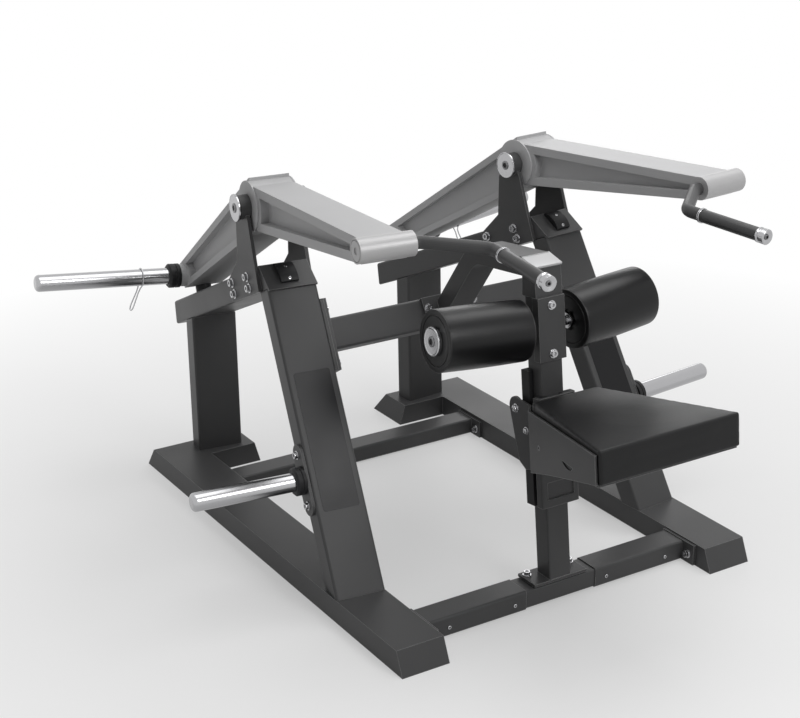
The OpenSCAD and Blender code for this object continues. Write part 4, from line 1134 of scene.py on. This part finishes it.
@dataclass
class SmallHardware:
    """Screws and bare plates that the CAD leaves to the picture."""

    palette: Palette
    label_low: float = -94.0
    label_high: float = 278.0
    label_half: float = 51.5
    label_at: float = 329.0
    label_t: float = 0.6
    label_corner: float = 6.0
    upright_face: float = -32.5
    bar_face: float = 80.0
    bar_screw_z: float = 26.5
    bar_screws: tuple[float, ...] = (152.0, 359.0)
    stop_tilt: float = 31.298
    stop_z: float = -79.66
    bumper_screws: tuple[tuple[float, float], ...] = ((-170.0, 1.45), (-207.0, 0.9))
    bumper_x: float = 4.0
    bumper_mid: float = -181.0
    bumper_radius: float = 59.45
    bumper_crest: float = 16.0
    pivot_cap: float = 101.5
    roller_cap: float = 335.0
    tip_dish: float = 3.0
    cover_size: Point = (88.4, 58.0, 7.4)
    cover_at: Point = (0.0, 211.94, 912.2)
    cover_tilt: float = 13.16
    cover_edge: float = 1.2
    flank_at: Point = (126.24, -130.0, 419.0)
    flank_turn: float = 15.3
    flank_sunk: float = 1.4
    plate_out: float = 66.0
    bolt_share: float = 0.62
    plate_bolts: tuple[tuple[float, float, float], ...] = ((46.0, 472.0, 9.5), (4.0, 420.0, 8.0))

    def drive(
        self, kind: SocketScrew, name: str, body: str, place: Matrix, finish: Finish
    ) -> None:
        """Makes a screw, drives it in and paints it.

        Args:
            kind: The screw.
            name: The piece's name.
            body: The CAD body that it rides on.
            place: Its working frame in mm, Z outward.
            finish: The screw's finish; its socket is painted dark as shade.
        """
        screw = kind.make(name)
        Bench.set_down(screw, place)
        marks = [face.material_index for face in screw.data.polygons]
        mount(screw, body, self.palette, finish)
        # the dark plate material on the socket faces is painted shade
        screw.data.materials.append(self.palette.material(self.palette.plate))
        screw.data.polygons.foreach_set("material_index", marks)

    def label_plates(self) -> None:
        """Sticks a bare dark plate on each leaning upright's front."""
        height = self.label_high - self.label_low
        middle = (0, self.upright_face - self.label_t / 2, self.label_low + height / 2)
        for side in Side:
            plate = Bench.block(f"{side.label}_bare_plate",
                                (2 * self.label_half, self.label_t, height), middle)
            Bench.pick(plate, "EDGE", lambda a, b: abs(a.y - b.y) > self.label_t / 2)
            Bench.round_edges(self.label_corner, rounds=5)
            Bench.set_down(plate, LAYOUT.on_upright(side, self.label_at), angle=30)
            mount(plate, "frame", self.palette, self.palette.plate)

    def bar_screws_in(self) -> None:
        """Drives the screws through the sleeves into the front crossbar."""
        kind = SocketScrew(head=5.6, height=3.0, socket=2.6)
        for side in Side:
            for number, x in enumerate(self.bar_screws):
                place = LAYOUT.half(side) @ move(x, self.bar_face, self.bar_screw_z)
                self.drive(kind, f"{side.label}_sleeve_screw_{number}", "frame",
                           place @ turn("X", 90), self.palette.chrome)

    def bumper_screws_in(self) -> None:
        """Drives two screws into each bumper, with their heads in its crown."""
        kind = SocketScrew(head=4.6, height=1.6, socket=2.1)
        radius = self.bumper_radius
        for side in Side:
            for number, (y, sunk) in enumerate(self.bumper_screws):
                off = y - self.bumper_mid
                crest = self.bumper_crest - radius + math.sqrt(radius ** 2 - off ** 2)
                spot = move(self.bumper_x, y, self.stop_z + crest - sunk)
                lean = math.degrees(math.asin(off / radius))
                place = LAYOUT.at_pivot(side) @ turn("X", self.stop_tilt) @ spot @ turn("X", -lean)
                self.drive(kind, f"{side.label}_bumper_screw_{number}", "frame", place,
                           self.palette.chrome)

    def seat_bolts_in(self) -> None:
        """Bolts the seat's side plates to the carriage."""
        for side in Side:
            for number, (y, z, size) in enumerate(self.plate_bolts):
                kind = HexBolt(head=size, height=size * self.bolt_share)
                bolt = kind.make(f"{side.label}_seat_bolt_{number}")
                place = LAYOUT.on_column(side) @ move(self.plate_out, y, z)
                Bench.set_down(bolt, place @ turn("Y", 90))
                mount(bolt, "seat", self.palette, self.palette.chrome)

    def cap_screws_in(self) -> None:
        """Drives a socket screw into each pivot cap, roller cap and handle tip."""
        pivot = SocketScrew(head=13.0, height=2.0, socket=8.2)
        roller = SocketScrew(head=14.0, height=2.2, socket=8.8)
        tip = SocketScrew(head=6.9, height=1.6, socket=4.4)
        for side in Side:
            middle, end = LAYOUT.at_pivot(side), LAYOUT.handle().length - self.tip_dish
            for kind, word, body, way, up in (
                (pivot, "outer_cap", "frame", middle @ turn("Y", 90), self.pivot_cap),
                (pivot, "inner_cap", "frame", middle @ turn("Y", -90), self.pivot_cap),
                (roller, "roller_cap", "frame", LAYOUT.on_roller(side), self.roller_cap),
                (tip, "handle_tip", f"{side.label}_arm", LAYOUT.on_grip(side), end),
            ):
                self.drive(kind, f"{side.label}_{word}_screw", body, way @ move(0, 0, up),
                           self.palette.screw)

    def flank_screws_in(self) -> None:
        """Sets a flush screw into the hole of each seat plate's flank."""
        kind = SocketScrew(head=6.4, height=1.8, socket=3.4)
        for side in Side:
            flank = LAYOUT.on_column(side) @ move(*self.flank_at) @ turn("Z", self.flank_turn)
            self.drive(kind, f"{side.label}_flank_screw", "seat",
                       flank @ turn("Y", 90) @ move(0, 0, -self.flank_sunk), self.palette.screw)

    def head_cover(self) -> None:
        """Lays the satin cover over the slanted top of the head."""
        cover = Bench.block("head_cover", self.cover_size, (0, 0, 0))
        Bench.soften(cover, self.cover_edge, rounds=3)
        place = LAYOUT.whole() @ move(*self.cover_at) @ turn("X", self.cover_tilt)
        Bench.set_down(cover, place, angle=30)
        mount(cover, "frame", self.palette, self.palette.cover_plate)


# ---- Studio ----


@dataclass
class Lamp:
    """A soft rectangular lamp that faces the machine."""

    name: str
    place: Point
    aim: Point
    size: tuple[float, float]
    power: float

    def hang(self) -> None:
        """Adds the lamp."""
        data = bpy.data.lights.new(self.name, "AREA")
        data.shape = "RECTANGLE"
        data.size, data.size_y = self.size
        data.energy = self.power
        lamp = bpy.data.objects.new(self.name, data)
        bpy.context.scene.collection.objects.link(lamp)
        lamp.location = self.place
        way = Vector(self.aim) - Vector(self.place)
        lamp.rotation_mode = "QUATERNION"
        lamp.rotation_quaternion = way.to_track_quat("-Z", "Y")


@dataclass
class Studio:
    """Floor, backdrop, lamps and the camera."""

    floor_size: float = 60.0
    floor_z: float = -0.0005
    floor_tone: float = 0.74
    floor_drift: float = 0.006
    fade: tuple[float, float, float, float] = (0.5, 2.7, 0.33, 1.0)
    world_light: float = 0.25
    camera_at: Point = (-2479.9, -3038.7 - ORIGIN_BACK, 2227.7)
    azimuth: float = -32.301
    elevation: float = 21.241
    lens: float = 75.85
    lamps: tuple[Lamp, ...] = (
        Lamp("top_lamp", (0.1, 0.0, 4.2), (0.0, 0.0, 0.4), (3.0, 3.0), 50.0),
        Lamp("nose_lamp", (2.0, 0.2, 3.9), (0.0, 0.0, 0.8), (1.6, 1.6), 28.0),
        Lamp("front_lamp", (0.5, -3.5, 2.9), (-0.3, -0.3, 0.4), (1.5, 1.5), 52.0),
        Lamp("rear_lamp", (3.3, 3.9, 2.3), (0.3, 0.0, 0.4), (1.6, 1.6), 16.0),
    )

    def seen(self, sheet: Sheet) -> Socket:
        """Mask of the rays that see the background, straight, mirrored or let through.

        Args:
            sheet: The tree to add it to.

        Returns:
            The mask's socket.
        """
        path = sheet.node("ShaderNodeLightPath").outputs
        first = sheet.maths("MAXIMUM", path["Is Camera Ray"], path["Is Glossy Ray"])
        return sheet.maths("MAXIMUM", first, path["Is Transmission Ray"])

    def light(self) -> None:
        """Sets the world and hangs the lamps."""
        world = bpy.data.worlds.new("studio_air")
        bpy.context.scene.world = world
        world.use_nodes = True
        sheet = Sheet(world.node_tree)
        plain, white = (
            sheet.node("ShaderNodeBackground", {"Color": WHITE, "Strength": strength}).outputs[0]
            for strength in (self.world_light, 1.0)
        )
        pick = sheet.node("ShaderNodeMixShader", {0: self.seen(sheet), 1: plain, 2: white})
        sheet.node("ShaderNodeOutputWorld", {"Surface": pick.outputs[0]})
        for lamp in self.lamps:
            lamp.hang()

    def lay_floor(self) -> None:
        """Lays the floor, which goes over to plain white away from the machine."""
        Bench.clear()
        bpy.ops.mesh.primitive_plane_add(size=self.floor_size, location=(0, 0, self.floor_z))
        floor = Bench.named("floor")
        material = bpy.data.materials.new("pale_floor")
        material.use_nodes = True
        sheet = Sheet(material.node_tree)
        noise = sheet.noise(detail=3.0, roughness=0.5, scale=3.0).outputs["Fac"]
        tone = sheet.span(noise, *NOISE_SPAN, self.floor_tone - self.floor_drift,
                          self.floor_tone + self.floor_drift)
        skin = sheet.node("ShaderNodeBsdfPrincipled", {
            "Base Color": tone, "Roughness": 0.55, "Specular IOR Level": 0.3,
        })
        glow = sheet.node("ShaderNodeEmission", {"Color": WHITE, "Strength": 1.0})
        away = sheet.vector("LENGTH", {0: sheet.places()})["Value"]
        share = sheet.maths("MULTIPLY", sheet.span(away, *self.fade), self.seen(sheet))
        pick = sheet.node("ShaderNodeMixShader", {
            0: share, 1: skin.outputs[0], 2: glow.outputs[0],
        })
        sheet.node("ShaderNodeOutputMaterial", {"Surface": pick.outputs[0]})
        floor.data.materials.append(material)

    def set_camera(self) -> None:
        """Stands the camera where the photograph was taken."""
        data = bpy.data.cameras.new("camera")
        data.lens = self.lens
        data.sensor_width = 36.0
        data.clip_end = 200.0
        camera = bpy.data.objects.new("camera", data)
        bpy.context.scene.collection.objects.link(camera)
        camera.location = Vector(self.camera_at) * MM
        a, e = math.radians(self.azimuth), math.radians(self.elevation)
        back = Vector((math.sin(a) * math.cos(e), -math.cos(a) * math.cos(e), math.sin(e)))
        camera.rotation_mode = "QUATERNION"
        camera.rotation_quaternion = (-back).to_track_quat("-Z", "Y")
        bpy.context.scene.camera = camera

    def build(self) -> None:
        """Sets everything up."""
        bpy.context.scene.view_settings.view_transform = "Standard"
        self.set_camera()
        self.light()
        self.lay_floor()


def main() -> None:
    """Builds the whole picture, piece by piece."""
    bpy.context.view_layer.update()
    Bench.clear()
    palette = Palette(Effects())
    Studio().build()
    CadFinishes(palette).dress(frame["nodes"])
    SeatCushion(palette).make()
    for side in Side:
        ThighRoller(palette, side).make()
        HandGrip(palette, side).make()
        PivotHub(palette, side).make()
    hardware = SmallHardware(palette)
    hardware.label_plates()
    hardware.bar_screws_in()
    hardware.bumper_screws_in()
    hardware.seat_bolts_in()
    hardware.cap_screws_in()
    hardware.flank_screws_in()
    hardware.head_cover()


if __name__ == "__main__":
    main()
